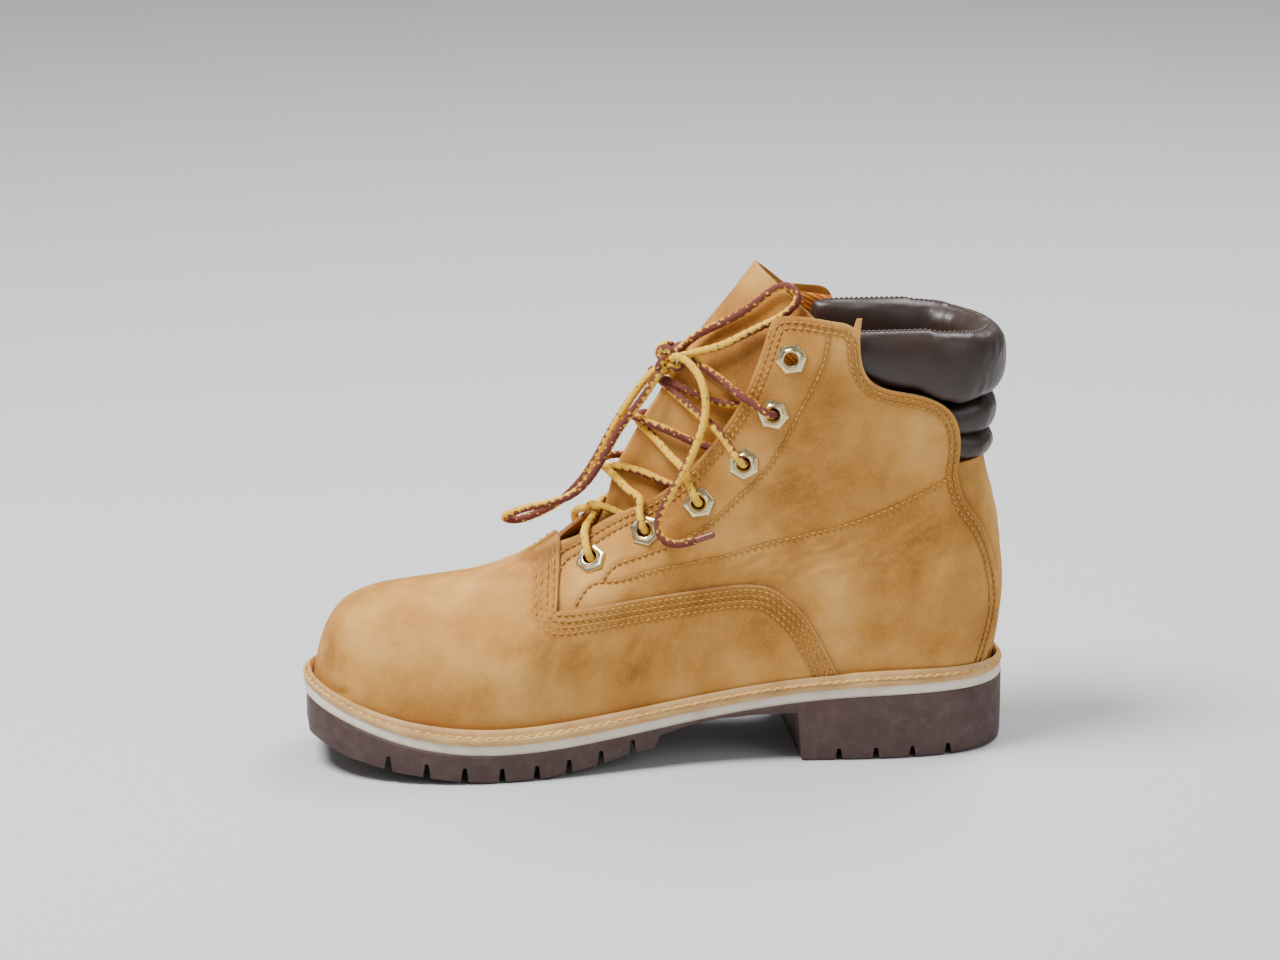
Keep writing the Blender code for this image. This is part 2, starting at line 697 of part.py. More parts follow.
def quarter_outline(across, rows):
    """Four edges of a quarter in side view."""
    foot = lifted(QUARTER_FOOT_X + (BACKSTAY_FOOT_X - QUARTER_FOOT_X) * across, UPPER_LIFT)
    wing_front = dense([tuple(foot[0]), (-57, 50), (-55, 74), FACING_EDGE[0]], 60)
    front = np.vstack([wing_front, dense(FACING_EDGE)])
    border = dense(COLLAR_BORDER)
    corner = int(np.argmin(np.abs(border[:, 0] - border[:, 1] + 27)))
    seam = dense(BACKSTAY_SEAM + [tuple(foot[-1])], 80)[::-1]
    back = np.vstack([seam, border[corner:][::-1]])
    top = along(np.vstack([dense(QUARTER_TOP), border[: corner + 1]]), across)
    fractions = np.linspace(0, 1, rows)
    return foot, top, along(front, fractions), along(back, fractions)


def add_eyelet_cutter(side):
    """Six round cutters on the eyelets' axes, as one object."""
    bm = bmesh.new()
    for index in range(len(EYELETS)):
        origin, normal = eyelet_axis(index, side)
        ring = circle(EYELET_CUT_RADIUS, 12)
        u, v = frame_of(normal)
        rings = [[origin + u * a + v * b + normal * h for a, b in ring] for h in (-8, 5)]
        verts = add_grid(bm, rings, closed=True)
        bm.faces.new(reversed(verts[0]))
        bm.faces.new(verts[-1])
    bmesh.ops.recalc_face_normals(bm, faces=bm.faces)
    name = "eyelet_cutter_" + SIDE_NAMES[side]
    return add_object(name, to_mesh(name, bm, 0.0001), None, cutters, smooth=False)


def circle(radius, count):
    angles = [2 * math.pi * k / count for k in range(count)]
    return [(radius * math.cos(angle), radius * math.sin(angle)) for angle in angles]


def surface_normal(x, z, side, depth):
    """Outward unit normal of a layer at a side-view point."""
    reach = 0.5
    at = place(np.array([[x - reach, z], [x + reach, z], [x, z - reach], [x, z + reach]]), side, depth)
    normal = np.cross(at[1] - at[0], at[3] - at[2]) * -side
    return normal / np.linalg.norm(normal)


def frame_of(normal):
    """Two unit vectors square to a normal, the first one level."""
    u = np.cross([0, 0, 1], normal)
    u /= np.linalg.norm(u)
    return u, np.cross(normal, u)


def eyelet_axis(index, side):
    x, z = EYELETS[index]
    origin = place(np.array([x, z]), side, QUARTER_DEPTH)
    return origin, surface_normal(x, z, side, QUARTER_DEPTH)


def add_quarters():
    across = closer_behind(17)
    foot, top, front, back = quarter_outline(across, 17)
    grid = patch(foot, top, front, back, across)
    for side in (MEDIAL, LATERAL):
        name = "quarter_" + SIDE_NAMES[side]
        quarter = shell(name, [(grid, [])], QUARTER_DEPTH, LEATHER, NUBUCK, sides=(side,))
        cutter = add_eyelet_cutter(side)
        cut(quarter, cutter)
        lining = add_quarter_lining(side)
        cut(lining, cutter)


def add_quarter_lining(side):
    """Twill and facing lining behind a quarter, from the facing edge back to the collar."""
    across = np.linspace(0, 1, 12)
    foot = lifted(-32 + 140 * across, INSIDE_LIFT)
    facing = np.array(FACING_EDGE[3:]) + [3.0, -1.8]
    lower_front = dense([tuple(foot[0]), (-31, 60), (-25, 78), (-22, 92), tuple(facing[0])], 80)
    front = np.vstack([lower_front, dense(facing)])
    back_points = [(112, 60), (113, 100), (114, 130), (106, 148), (88, 156), (78, 170), (78, 188)]
    back = dense([tuple(foot[-1])] + back_points)
    top = dense([tuple(facing[-1]), (50, 191), (60, 192), (78, 188)])
    fractions = np.linspace(0, 1, 15)
    grid = patch(foot, along(top, across), along(front, fractions), along(back, fractions), across)
    name = "quarter_lining_" + SIDE_NAMES[side]
    return shell(name, [(grid, [])], LINING_DEPTH, LINING_THICKNESS, TWILL, sides=(side,))


# ---------------------------------------------------------------- upper: heel
def heel_wrap(depth, front, heights, columns):
    """Grid round the heel from a front edge (x at each height) to the back curve."""
    k = 1 - np.linspace(1, 0, columns) ** 2
    front = np.stack([front, heights], axis=-1)
    rear = np.stack([back_x(heights) - depth, heights], axis=-1)
    return front[:, None] * (1 - k[None, :, None]) + rear[:, None] * k[None, :, None]


def add_heel():
    foot = outsole_top(140) + UPPER_LIFT
    heights = np.linspace(foot, 128, 10)
    seam = dense(BACKSTAY_SEAM + [(BACKSTAY_FOOT_X, foot)])[::-1]
    seam_x = np.interp(heights, seam[:, 1], seam[:, 0])
    backstay = heel_wrap(BACKSTAY_DEPTH, seam_x - 8, heights, 8)
    shell("backstay", [(backstay, ["right"])], BACKSTAY_DEPTH, LEATHER, NUBUCK)
    inside = outsole_top(140) + INSIDE_LIFT
    heights = np.linspace(inside, 82, 6)
    counter = heel_wrap(COUNTER_DEPTH, 98 + (heights - inside) * 0.35, heights, 8)
    shell("heel_counter", [(counter, ["right"])], COUNTER_DEPTH, COUNTER_THICKNESS, FIBREBOARD)
    heights = np.linspace(inside, 120, 8)
    lining = heel_wrap(HEEL_LINING_DEPTH, np.full(8, 100.0), heights, 8)
    shell("heel_lining", [(lining, ["right"])], HEEL_LINING_DEPTH, LINING_THICKNESS, TWILL)


# ---------------------------------------------------------------- padded collar
ROLL_THICKNESS = 12.0
TUCKED_DEPTH = 5.2
COLLAR_ROLLS = {
    "collar_roll_top": {
        "upper": [(85, 188.5), (110, 188), (135, 185), (155, 181)],
        "lower": [(85, 173), (92, 165.5), (106, 161), (124, 155.5), (140, 157), (155, 159)],
        "tucked_until": (102, 128),
    },
    "collar_roll_middle": {
        "upper": [(118, 151), (130, 153.5), (155, 158)],
        "lower": [(118, 141), (130, 140), (155, 138.5)],
        "tucked_until": (127, 136),
    },
    "collar_roll_bottom": {
        "upper": [(119, 140), (130, 139.2), (155, 137.6)],
        "lower": [(119, 129), (130, 128.5), (155, 128.5)],
        "tucked_until": (127, 136),
    },
}


def add_collar_roll(name, upper, lower, tucked_until):
    """One padded roll round the back, its ends thinned to tuck in under the quarters."""
    start = upper[0][0]
    heights_mid = (table(upper, 150) + table(lower, 150)) / 2
    centre_depth = ROLL_THICKNESS / 2
    end = back_x(heights_mid) - centre_depth - 0.4
    fractions = 1 - np.linspace(1, 0, 10) ** 2
    xs = start + (end - start) * fractions
    tops = table(upper, xs)
    bottoms = table(lower, xs)
    middles = (tops + bottoms) / 2
    tucked = 1 - step(xs, *tucked_until)
    depth = 0.4 + (TUCKED_DEPTH - 0.4) * tucked
    half_thickness = ROLL_THICKNESS / 2 * (1 - 0.35 * tucked)
    half_thickness[0] *= 0.6
    stations_by_side = []
    for side in (MEDIAL, LATERAL):
        x = xs
        y = centre(x) + side * half_width(x, middles, depth + half_thickness)
        y[-1] = centre(x[-1])
        stations_by_side.append(np.stack([x, y], axis=-1))
    path = np.vstack([stations_by_side[0], stations_by_side[1][-2::-1]])
    order = list(range(len(xs))) + list(range(len(xs) - 2, -1, -1))
    tangent = np.gradient(path, axis=0)
    tangent /= np.linalg.norm(tangent, axis=1, keepdims=True)
    normals = np.stack([tangent[:, 1], -tangent[:, 0]], axis=-1)
    rings = []
    for point, normal, i in zip(path, normals, order):
        ring = []
        for k in range(10):
            angle = 2 * math.pi * k / 10
            swing = math.copysign(abs(math.cos(angle)) ** 0.8, math.cos(angle)) * half_thickness[i]
            lift = math.copysign(abs(math.sin(angle)) ** 0.8, math.sin(angle)) * (tops[i] - bottoms[i]) / 2
            ring.append((*(point + normal * swing), middles[i] + lift))
        rings.append(ring)
    loft(name, rings, COLLAR_LEATHER)


def add_collar():
    for name, shape in COLLAR_ROLLS.items():
        add_collar_roll(name, **shape)
    heights = np.linspace(126, 172, 5)
    front = np.array([112, 108, 100, 94, 92], float)
    grid = heel_wrap(COLLAR_LINING_DEPTH, front, heights, 8)
    shell("collar_lining", [(grid, ["right"])], COLLAR_LINING_DEPTH, LINING_THICKNESS, COLLAR_LEATHER)


# ---------------------------------------------------------------- tongue
TONGUE_ROOT_X = -46.0
TONGUE_ROOT_DROP = 12.5
TONGUE_ROUNDING = 38.0
TONGUE_TIP_X = 43.0
TONGUE_LOWER = 0.6
TONGUE_EDGE = [(-30, 80), (-12, 90), (14, 104), (37, 121), (52, 142), (62, 164), (68, 190)]


def tongue_drop(z):
    """How far the tongue lies under the front profile: most at its root, under the facings."""
    return TONGUE_ROOT_DROP * (1 - step(z, 86, 128))


def tongue_place(points, side, lower_by):
    """Points of the tongue: it reaches the front ridge, but is narrower than the shaft."""
    x = points[..., 0]
    z = points[..., 1]
    depth = lower_by + tongue_drop(z)
    front = dome((from_front(x, z) - depth) / (TONGUE_ROUNDING - depth))
    y = centre(x) + side * (full_width(x, z) - TONGUE_DEPTH - lower_by) * front
    return np.stack([x, y, z], axis=-1)


def tongue_layer(name, lower_by, trim, thickness, finish):
    rows = 13
    columns = 7
    fractions = np.linspace(0, 1, rows)
    crown = ridge(lambda z: lower_by + tongue_drop(z), TONGUE_ROOT_X, TONGUE_TIP_X - trim, fractions)
    edge = along(dense(TONGUE_EDGE), np.linspace(0, 1 - trim / 150, rows))
    k = 1 - np.linspace(1, 0, columns) ** 2
    grid = edge[:, None] * (1 - k[None, :, None]) + crown[:, None] * k[None, :, None]
    bm = bmesh.new()
    for side in (MEDIAL, LATERAL):
        placed = tongue_place(grid, side, lower_by)
        placed[:, -1, 1] = centre(grid[:, -1, 0])
        add_grid(bm, placed, flipped=side == MEDIAL)
    obj = add_object(name, to_mesh(name, bm), finish)
    add_thickness(obj, thickness)


def add_tongue():
    tongue_layer("tongue", TONGUE_LOWER, 0.0, TONGUE_THICKNESS, NUBUCK)
    tongue_layer("tongue_lining", TONGUE_LOWER + TONGUE_THICKNESS + 1.2, 2.0, LINING_THICKNESS, TWILL)


def add_gussets():
    """Folded leaves that close the gap between the tongue's edges and the quarters."""
    rows = 9
    edge = along(dense(TONGUE_EDGE[:-1]), np.linspace(0.2, 1, rows))
    front = edge + [-1.5, 0]
    rear = edge + [9.5, -5.5]
    across = np.linspace(0, 1, 3)[None, :, None]
    grid = front[:, None] * (1 - across) + rear[:, None] * across
    for side in (MEDIAL, LATERAL):
        name = "gusset_" + SIDE_NAMES[side]
        shell(name, [(grid, [])], GUSSET_DEPTH, GUSSET_THICKNESS, NUBUCK, sides=(side,))


# ---------------------------------------------------------------- eyelets
# Profile of an eyelet as (radius, height over the leather, whether the ring is six-sided)
EYELET_PROFILE = [
    (EYELET_HOLE_RADIUS, -5.0, False), (EYELET_HOLE_RADIUS, 1.4, False), (3.9, 1.7, False),
    (EYELET_FLANGE_RADIUS - 0.3, 1.3, True), (EYELET_FLANGE_RADIUS, 0.7, True),
    (EYELET_BARREL_RADIUS, 0.7, False), (EYELET_BARREL_RADIUS, -4.4, False), (4.4, -4.7, False),
]


def eyelet_ring(radius, six_sided):
    ring = []
    for k in range(12):
        angle = math.pi * k / 6
        reach = radius * (math.cos(math.pi / 6) if six_sided and k % 2 else 1)
        ring.append((reach * math.cos(angle), reach * math.sin(angle)))
    return ring


def add_eyelets():
    for side in (MEDIAL, LATERAL):
        for index in range(len(EYELETS)):
            origin, normal = eyelet_axis(index, side)
            u, v = frame_of(normal)
            rings = []
            for radius, height, six_sided in EYELET_PROFILE + EYELET_PROFILE[:1]:
                ring = eyelet_ring(radius, six_sided)
                rings.append([origin + u * a + v * b + normal * height for a, b in ring])
            bm = bmesh.new()
            add_grid(bm, rings, closed=True)
            bmesh.ops.remove_doubles(bm, verts=bm.verts, dist=0.001)
            bmesh.ops.recalc_face_normals(bm, faces=bm.faces)
            name = f"eyelet_{SIDE_NAMES[side]}_{index + 1}"
            add_object(name, to_mesh(name, bm, 0.001), EYELET_METAL)


# ---------------------------------------------------------------- laces
LACED_ROWS = 5
LACE_LIFT = LACE_RADIUS + 0.8
CROSSING_LIFT = 2 * LACE_RADIUS + 1.0
LACE_SPACING = 7.0
UNDER_FACING = -7.4
BAR_LIFT = LACE_LIFT + 0.6
SHARES = (0.75, 0.5, 0.25)


def quarter_point(x, z, side, height):
    """A point at a height over a quarter's outer face; under it where the height is negative."""
    origin = place(np.array([x, z]), side, QUARTER_DEPTH)
    return origin + surface_normal(x, z, side, QUARTER_DEPTH) * height


def tongue_point(x, z, side, height):
    """A point at a height over the tongue's outer face."""
    reach = 0.5
    near = np.array([[x - reach, z], [x + reach, z], [x, z - reach], [x, z + reach]])
    at = tongue_place(near, side, TONGUE_LOWER)
    normal = np.cross(at[1] - at[0], at[3] - at[2]) * -side
    normal /= np.linalg.norm(normal)
    return tongue_place(np.array([x, z]), side, TONGUE_LOWER) + normal * height


FACING = dense(FACING_EDGE, 400)
CROWN = ridge(lambda z: TONGUE_LOWER + tongue_drop(z), TONGUE_ROOT_X, TONGUE_TIP_X, np.linspace(0, 1, 400))


def nearest(curve, point):
    return curve[int(np.argmin(np.linalg.norm(curve - np.asarray(point), axis=1)))]


def facing_at(row):
    """Side-view point of the facing edge abreast of an eyelet row; rows in between are mixed."""
    low = min(int(row), len(EYELETS) - 2)
    mix = row - low
    ends = [nearest(FACING, EYELETS[low]), nearest(FACING, EYELETS[low + 1])]
    return ends[0] * (1 - mix) + ends[1] * mix


def over_ridge(row, side, share, lift):
    """A point over the tongue between the facing edge (share 1) and the ridge (share 0)."""
    edge = facing_at(row)
    crown = nearest(CROWN, edge)
    if share == 0:
        tangent = nearest(CROWN, crown + [3, 4]) - nearest(CROWN, crown - [3, 4])
        ahead = np.array([-tangent[1], tangent[0]]) / np.linalg.norm(tangent)
        at = crown + ahead * lift
        return np.array([at[0], centre(crown[0]), at[1]])
    x, z = crown * (1 - share**2) + edge * share**2
    return tongue_point(x, z, side, lift)


def inside_eyelet(row, side):
    """The lace's way from under the facing edge out through an eyelet."""
    x, z = EYELETS[row]
    edge = facing_at(row)
    toward = (edge - [x, z]) / np.linalg.norm(edge - [x, z])
    approach = [(4.6, UNDER_FACING), (0.8, UNDER_FACING), (0, -4.2), (0, 0.2)]
    return [quarter_point(x + toward[0] * a, z + toward[1] * a, side, h) for a, h in approach]


def outside_eyelet(row, side, leave_row):
    """The lace's way from an eyelet's front over the facing edge towards a row."""
    x, z = EYELETS[row]
    edge = facing_at(leave_row)
    away = (edge - [x, z]) / np.linalg.norm(edge - [x, z])
    over_rim = [(0.4, 3.0), (3.6, 4.6), (8, 3.6)]
    return [quarter_point(x + away[0] * a, z + away[1] * a, side, h) for a, h in over_rim]


def strand(row, side, lift, cross=0.5):
    """From an eyelet's front across the tongue and out through the next eyelet up, opposite.

    The two strands of a row cross over the ridge at a share of the way to the next row.
    """
    other = -side
    points = outside_eyelet(row, side, row + 0.2)
    edge = facing_at(row + 0.22)
    points.append(quarter_point(*edge, side, LACE_LIFT))
    top = over_ridge(row + cross, side, 0, lift)
    points += [points[-1] * share + top * (1 - share) for share in SHARES + (0.12,)]
    points.append(top)
    for share in SHARES[::-1]:
        height = LACE_LIFT + (lift - LACE_LIFT) * (1 - share**2)
        points.append(over_ridge(row + cross + share * 0.24, other, share, height))
    points.append(quarter_point(*facing_at(row + 0.8), other, UNDER_FACING))
    return points + inside_eyelet(row + 1, other)


def threaded_route():
    """One lace: a bar inside row one, then both halves criss-cross up to row five."""
    halves = []
    for side in (MEDIAL, LATERAL):
        half = inside_eyelet(0, side)
        at = side
        for row in range(LACED_ROWS - 1):
            raised = CROSSING_LIFT if side == LATERAL else 0.0
            cross = 0.5 if row < LACED_ROWS - 2 else 0.36
            half += strand(row, at, LACE_LIFT + raised, cross)
            at = -at
        half += outside_eyelet(LACED_ROWS - 1, at, LACED_ROWS - 0.8)
        edge = facing_at(LACED_ROWS - 0.72)
        half.append(quarter_point(*edge, at, LACE_LIFT))
        half.append(over_ridge(LACED_ROWS - 0.72, at, 0.8, LACE_LIFT + 0.4))
        halves.append(half)
    bar = [over_ridge(0, MEDIAL, share, BAR_LIFT) for share in SHARES[1:] + (0,)]
    bar += [over_ridge(0, LATERAL, share, BAR_LIFT) for share in SHARES[:0:-1]]
    return halves[0][::-1] + bar + halves[1]


# Free runs of the lace, from the knot. Each is a smooth curve through its own points.
LACE_ROUTES = {
    "lace_loop_front": [
        (0.5, -9, 165.5), (-6, -9.5, 156), (-15, -9.5, 144), (-21.5, -9.5, 133), (-28, -10, 122.5),
        (-36, -11, 115), (-46, -12, 111.5), (-56, -11.5, 109.5), (-63, -7.5, 106), (-64.5, -1.5, 102.5),
        (-60, 2.5, 100.5), (-51, 2, 103), (-42, -1, 108.5), (-33, -3.5, 117.5), (-26, -4.5, 128),
        (-19.5, -4.5, 140), (-12.5, -4.5, 151.5), (-1, -4.5, 166),
    ],
    "lace_loop_rear": [
        (10.5, -5.5, 176), (16, -6.5, 181), (24, -9, 186), (32, -12, 190.5), (41, -15, 197),
        (49, -17, 203.5), (55, -20, 205.5), (58.5, -23, 201.5), (55, -23.5, 196), (47, -21.5, 190.5),
        (37, -18.5, 185), (27, -15.5, 179.5), (15, -11.5, 175.5),
    ],
    "lace_end_medial": [
        (8.5, -12.5, 174.5), (14.5, -18.5, 171), (18, -23.5, 164.5), (19, -26.5, 155), (16, -29.5, 143.5),
        (10.5, -31.5, 132), (5, -32.5, 122.5), (0.5, -32, 114), (-2, -32.5, 106), (0, -34.5, 100),
        (6, -35.5, 98), (13, -36, 99.5),
    ],
    "lace_end_lateral": [
        (2, -0.5, 173), (5, 7, 175), (11, 15.5, 171.5), (16, 23, 163.5), (18.5, 28, 155),
        (16.5, 32.5, 144), (12, 35.5, 133), (6.5, 37, 123), (2.5, 37, 114), (3, 38, 105.5),
        (8, 40, 100), (15, 41, 98.5),
    ],
}
AGLET_LENGTH = 9.0
AGLET_RADIUS = 1.5
KNOT_CENTRE = (5.5, -6.5, 171.5)
KNOT_RADII = (4.6, 4.6, 4.6)


def polyline_length(points):
    return float(np.sum(np.linalg.norm(np.diff(points, axis=0), axis=1)))


def resting_on(name, points, clearance):
    """The points, those too near a finished piece moved straight off it to the clearance."""
    depsgraph = bpy.context.evaluated_depsgraph_get()
    tree = BVHTree.FromObject(bpy.data.objects[name], depsgraph)
    rested = []
    for point in points:
        at, normal, _, _ = tree.find_nearest(Vector(point * MM))
        foot = np.array(at) / MM
        height = np.dot(point - foot, normal)
        too_near = height < clearance and np.linalg.norm(point - foot) < clearance + TONGUE_THICKNESS
        rested.append(foot + np.array(normal) * clearance if too_near else point)
    return rested


def add_laces():
    route = resting_on("tongue", threaded_route(), LACE_LIFT)
    tube("lace_threaded", route, LACE_RADIUS, LACE_YARN, resolution=1)
    for name, route in LACE_ROUTES.items():
        smooth_route = dense(route, 400)
        count = int(polyline_length(smooth_route) / LACE_SPACING)
        points = along(smooth_route, np.linspace(0, 1, count))
        tube(name, points, LACE_RADIUS, LACE_YARN)
        if "end" in name:
            tip = points[-1] - points[-2]
            tip /= np.linalg.norm(tip)
            ends = [points[-1] + tip * GAP, points[-1] + tip * (GAP + AGLET_LENGTH)]
            tube(name.replace("lace_end", "aglet"), ends, AGLET_RADIUS, LACE_BROWN)
    bm = bmesh.new()
    bmesh.ops.create_uvsphere(bm, u_segments=10, v_segments=7, radius=1)
    bmesh.ops.scale(bm, vec=KNOT_RADII, verts=bm.verts)
    bmesh.ops.translate(bm, vec=KNOT_CENTRE, verts=bm.verts)
    add_object("lace_knot", to_mesh("lace_knot", bm, 0.0001), LACE_YARN)


add_outsole()
add_midsole()
add_welt()
add_inner_sole()
add_vamp()
add_toe_cap()
add_cap_gasket()
add_vamp_lining()
add_quarters()
add_heel()
add_collar()
add_tongue()
add_gussets()
add_eyelets()
add_laces()
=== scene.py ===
"""Looks of a steel toe work boot: fine leather, stitching, padded collar, lugged sole and tied laces.

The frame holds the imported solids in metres. The shapes below are worked out in millimetres from the
same design sizes as the model, and every fine piece takes the place of the solid that it is named for.
"""

import math

import bmesh
import bpy
import numpy as np
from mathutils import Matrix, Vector, noise
from mathutils.bvhtree import BVHTree


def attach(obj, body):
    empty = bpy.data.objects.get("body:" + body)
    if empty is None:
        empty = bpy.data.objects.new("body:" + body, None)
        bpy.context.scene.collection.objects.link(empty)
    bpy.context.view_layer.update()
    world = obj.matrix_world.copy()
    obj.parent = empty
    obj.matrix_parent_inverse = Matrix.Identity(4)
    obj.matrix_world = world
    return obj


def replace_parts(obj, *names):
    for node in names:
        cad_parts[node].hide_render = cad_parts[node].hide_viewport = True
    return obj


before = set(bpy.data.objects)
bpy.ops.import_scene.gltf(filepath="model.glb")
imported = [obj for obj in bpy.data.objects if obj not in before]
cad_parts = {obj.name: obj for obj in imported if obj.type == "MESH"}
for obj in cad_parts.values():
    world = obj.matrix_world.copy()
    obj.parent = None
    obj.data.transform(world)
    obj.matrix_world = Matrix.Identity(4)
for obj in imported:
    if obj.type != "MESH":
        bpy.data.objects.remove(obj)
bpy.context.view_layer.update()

# ---------------------------------------------------------------- design sizes, in millimetres
MM = 0.001
MEDIAL = -1
LATERAL = 1
SIDE_NAMES = {MEDIAL: "medial", LATERAL: "lateral"}
SOLE_LENGTH = 305.0
TOE_X = -SOLE_LENGTH / 2
HEEL_X = SOLE_LENGTH / 2
GAP = 0.35
VAMP_DEPTH = 0.0
QUARTER_DEPTH = 2.5
BACKSTAY_DEPTH = 4.9
LINING_DEPTH = 5.5
HEEL_LINING_DEPTH = 9.7
TONGUE_DEPTH = 13.3
COLLAR_LINING_DEPTH = 17.4
LINING_THICKNESS = 0.9
TONGUE_THICKNESS = 2.0
MIDSOLE_LIFT = GAP
MIDSOLE_THICKNESS = 4.0
UPPER_LIFT = MIDSOLE_LIFT + MIDSOLE_THICKNESS + GAP
FILLER_THICKNESS = 2.6
BOARD_LIFT = UPPER_LIFT + FILLER_THICKNESS + GAP
BOARD_THICKNESS = 2.6
INSIDE_LIFT = BOARD_LIFT + BOARD_THICKNESS + GAP
WELT_THICKNESS = 3.0
BEAD_WIDTH = 3.6
BEAD_HEIGHT = 3.2
WELT_CLEARANCE = 1.2
LACE_RADIUS = 1.7
FRONT_PROFILE = [
    (-148.5, 20), (-148, 34), (-146, 46), (-142.5, 57), (-136, 66), (-127, 71), (-112, 74.3),
    (-96, 76), (-78, 78.3), (-62, 82.5), (-50, 88.5), (-39, 97.5), (-27, 109.5), (-16, 125),
    (-6, 142.5), (5, 161), (17.5, 180), (28, 193), (38, 206), (44, 214), (52, 224.5),
]
BACK_PROFILE = [
    (151, 20), (153.6, 40), (156.2, 55), (157.2, 68), (156.4, 80), (154.4, 98), (151, 114),
    (148, 126), (147, 138), (148.5, 150), (151, 164), (152.5, 178), (153, 196),
]
OUTSOLE_TOP = [
    (TOE_X, 31), (-135, 24), (-115, 17.5), (-90, 13), (-65, 12), (-35, 13.5), (0, 17.5),
    (30, 22), (60, 26), (90, 28), (125, 28.5), (HEEL_X, 28.5),
]
FACING_EDGE = [
    (-49, 82), (-44, 89.5), (-35, 95.5), (-20, 105.5), (-8, 112), (3, 119.5), (14, 130),
    (25, 144), (34, 159), (40, 173), (45, 187),
]
QUARTER_TOP = [(45, 187), (48, 193), (54, 195), (72, 193.4), (80, 191), (83, 186)]
COLLAR_BORDER = [
    (83, 186), (84, 176), (88, 167.5), (96, 163), (106, 160.8), (115, 158), (122.5, 153),
    (127, 145), (128.2, 133), (127, 125),
]
BACKSTAY_SEAM = [(127, 125), (130, 113.3), (137, 102.8), (143, 90), (146.4, 76), (147, 62), (144.6, 50)]
WING_EDGE = [
    (-46, 70), (-29, 71.6), (-4, 74.3), (20, 77), (37, 78.2), (46, 76.5), (54, 71), (62, 62.5),
    (69, 50),
]
WING_END_X = 76.0
BACKSTAY_FOOT_X = 141.0
QUARTER_FOOT_X = -56.0
THROAT_TOP_X = -42.0
SOLE_OUTLINE = [
    (TOE_X, -5), (-149.5, 13), (-143, 27), (-132, 38), (-118, 46), (-98, 52), (-70, 54.5),
    (-35, 50.5), (0, 43), (40, 39), (80, 39), (115, 38), (140, 28), (HEEL_X, 0), (140, -28),
    (115, -38), (80, -39), (40, -37), (5, -39), (-20, -44), (-55, -52), (-80, -54.5), (-100, -53),
    (-118, -48.5), (-133, -41), (-143.5, -32), (-150, -20),
]
CENTRE_LINE = [
    (-150, -6), (-128, -1.6), (-100, -0.4), (-70, 0.6), (-35, 2.3), (0, 2), (40, 1), (80, 0), (158, 0),
]
FOOT_HALF_WIDTH = [
    (-150, 46), (-120, 46), (-95, 47), (-70, 48.5), (-35, 44), (0, 38), (40, 35.5), (80, 36),
    (120, 36), (158, 36),
]
SHAFT_HALF_WIDTH = [(-60, 40), (-20, 35), (20, 35), (60, 36.5), (100, 36.5), (158, 35)]
EYELETS = [(-29.6, 88.8), (-6.7, 101.5), (15.9, 114.2), (34.9, 131.4), (47.1, 153.3), (54.4, 177.6)]


def bends(knots, values):
    """Second derivatives of the natural cubic spline through values at knots."""
    gap = np.diff(knots)
    system = np.eye(len(knots))
    load = np.zeros_like(values)
    for i in range(1, len(knots) - 1):
        system[i, i - 1 : i + 2] = gap[i - 1], 2 * (gap[i - 1] + gap[i]), gap[i]
        load[i] = 6 * ((values[i + 1] - values[i]) / gap[i] - (values[i] - values[i - 1]) / gap[i - 1])
    return np.linalg.solve(system, load)


def spline(knots, values, at):
    """The natural cubic spline through values at knots, read at each place in at."""
    knots = np.asarray(knots, float)
    values = np.asarray(values, float)
    at = np.clip(np.asarray(at, float), knots[0], knots[-1])
    i = np.clip(np.searchsorted(knots, at, side="right") - 1, 0, len(knots) - 2)
    bend = bends(knots, values)
    step = knots[i + 1] - knots[i]
    near = (knots[i + 1] - at) / step
    if values.ndim == 2:
        near = near[..., None]
        step = step[..., None]
    far = 1 - near
    curved = (near**3 - near) * bend[i] + (far**3 - far) * bend[i + 1]
    return near * values[i] + far * values[i + 1] + curved * step**2 / 6


def dense(points, count=240):
    """Many points along the smooth curve through a few."""
    points = np.asarray(points, float)
    knots = np.concatenate([[0], np.cumsum(np.linalg.norm(np.diff(points, axis=0), axis=1))])
    return spline(knots, points, np.linspace(0, knots[-1], count))


def closed_loop(points, count):
    """Many points round a smooth closed curve, starting at its first point."""
    reach = 3
    padded = np.asarray(points[-reach:] + points + points[: reach + 1], float)
    knots = np.concatenate([[0], np.cumsum(np.linalg.norm(np.diff(padded, axis=0), axis=1))])
    return spline(knots, padded, np.linspace(knots[reach], knots[reach + len(points)], count))


def along(points, fractions):
    """Points at the given fractions of a polyline's length."""
    length = np.concatenate([[0], np.cumsum(np.linalg.norm(np.diff(points, axis=0), axis=1))])
    at = np.asarray(fractions) * length[-1]
    return np.stack([np.interp(at, length, points[:, k]) for k in range(points.shape[1])], axis=-1)


def step(value, low, high):
    """A smooth step from 0 at low to 1 at high."""
    t = np.clip((np.asarray(value, float) - low) / (high - low), 0, 1)
    return t * t * (3 - 2 * t)


def table(points, at):
    points = np.asarray(points, float)
    return spline(points[:, 0], points[:, 1], at)

FRONT = dense(FRONT_PROFILE, 400)
BACK = dense(BACK_PROFILE, 200)
FULLNESS = 2.1
TOE_ROUNDING = 44.0
SHAFT_ROUNDING = 30.0
HEEL_ROUNDING = 35.0
FACING_NARROWING = 0.2
HEEL_SWELL = 2.0
COLLAR_FLARE = 4.5


def centre(x):
    return table(CENTRE_LINE, x)


def front_x(z):
    return np.interp(z, FRONT[:, 1], FRONT[:, 0])


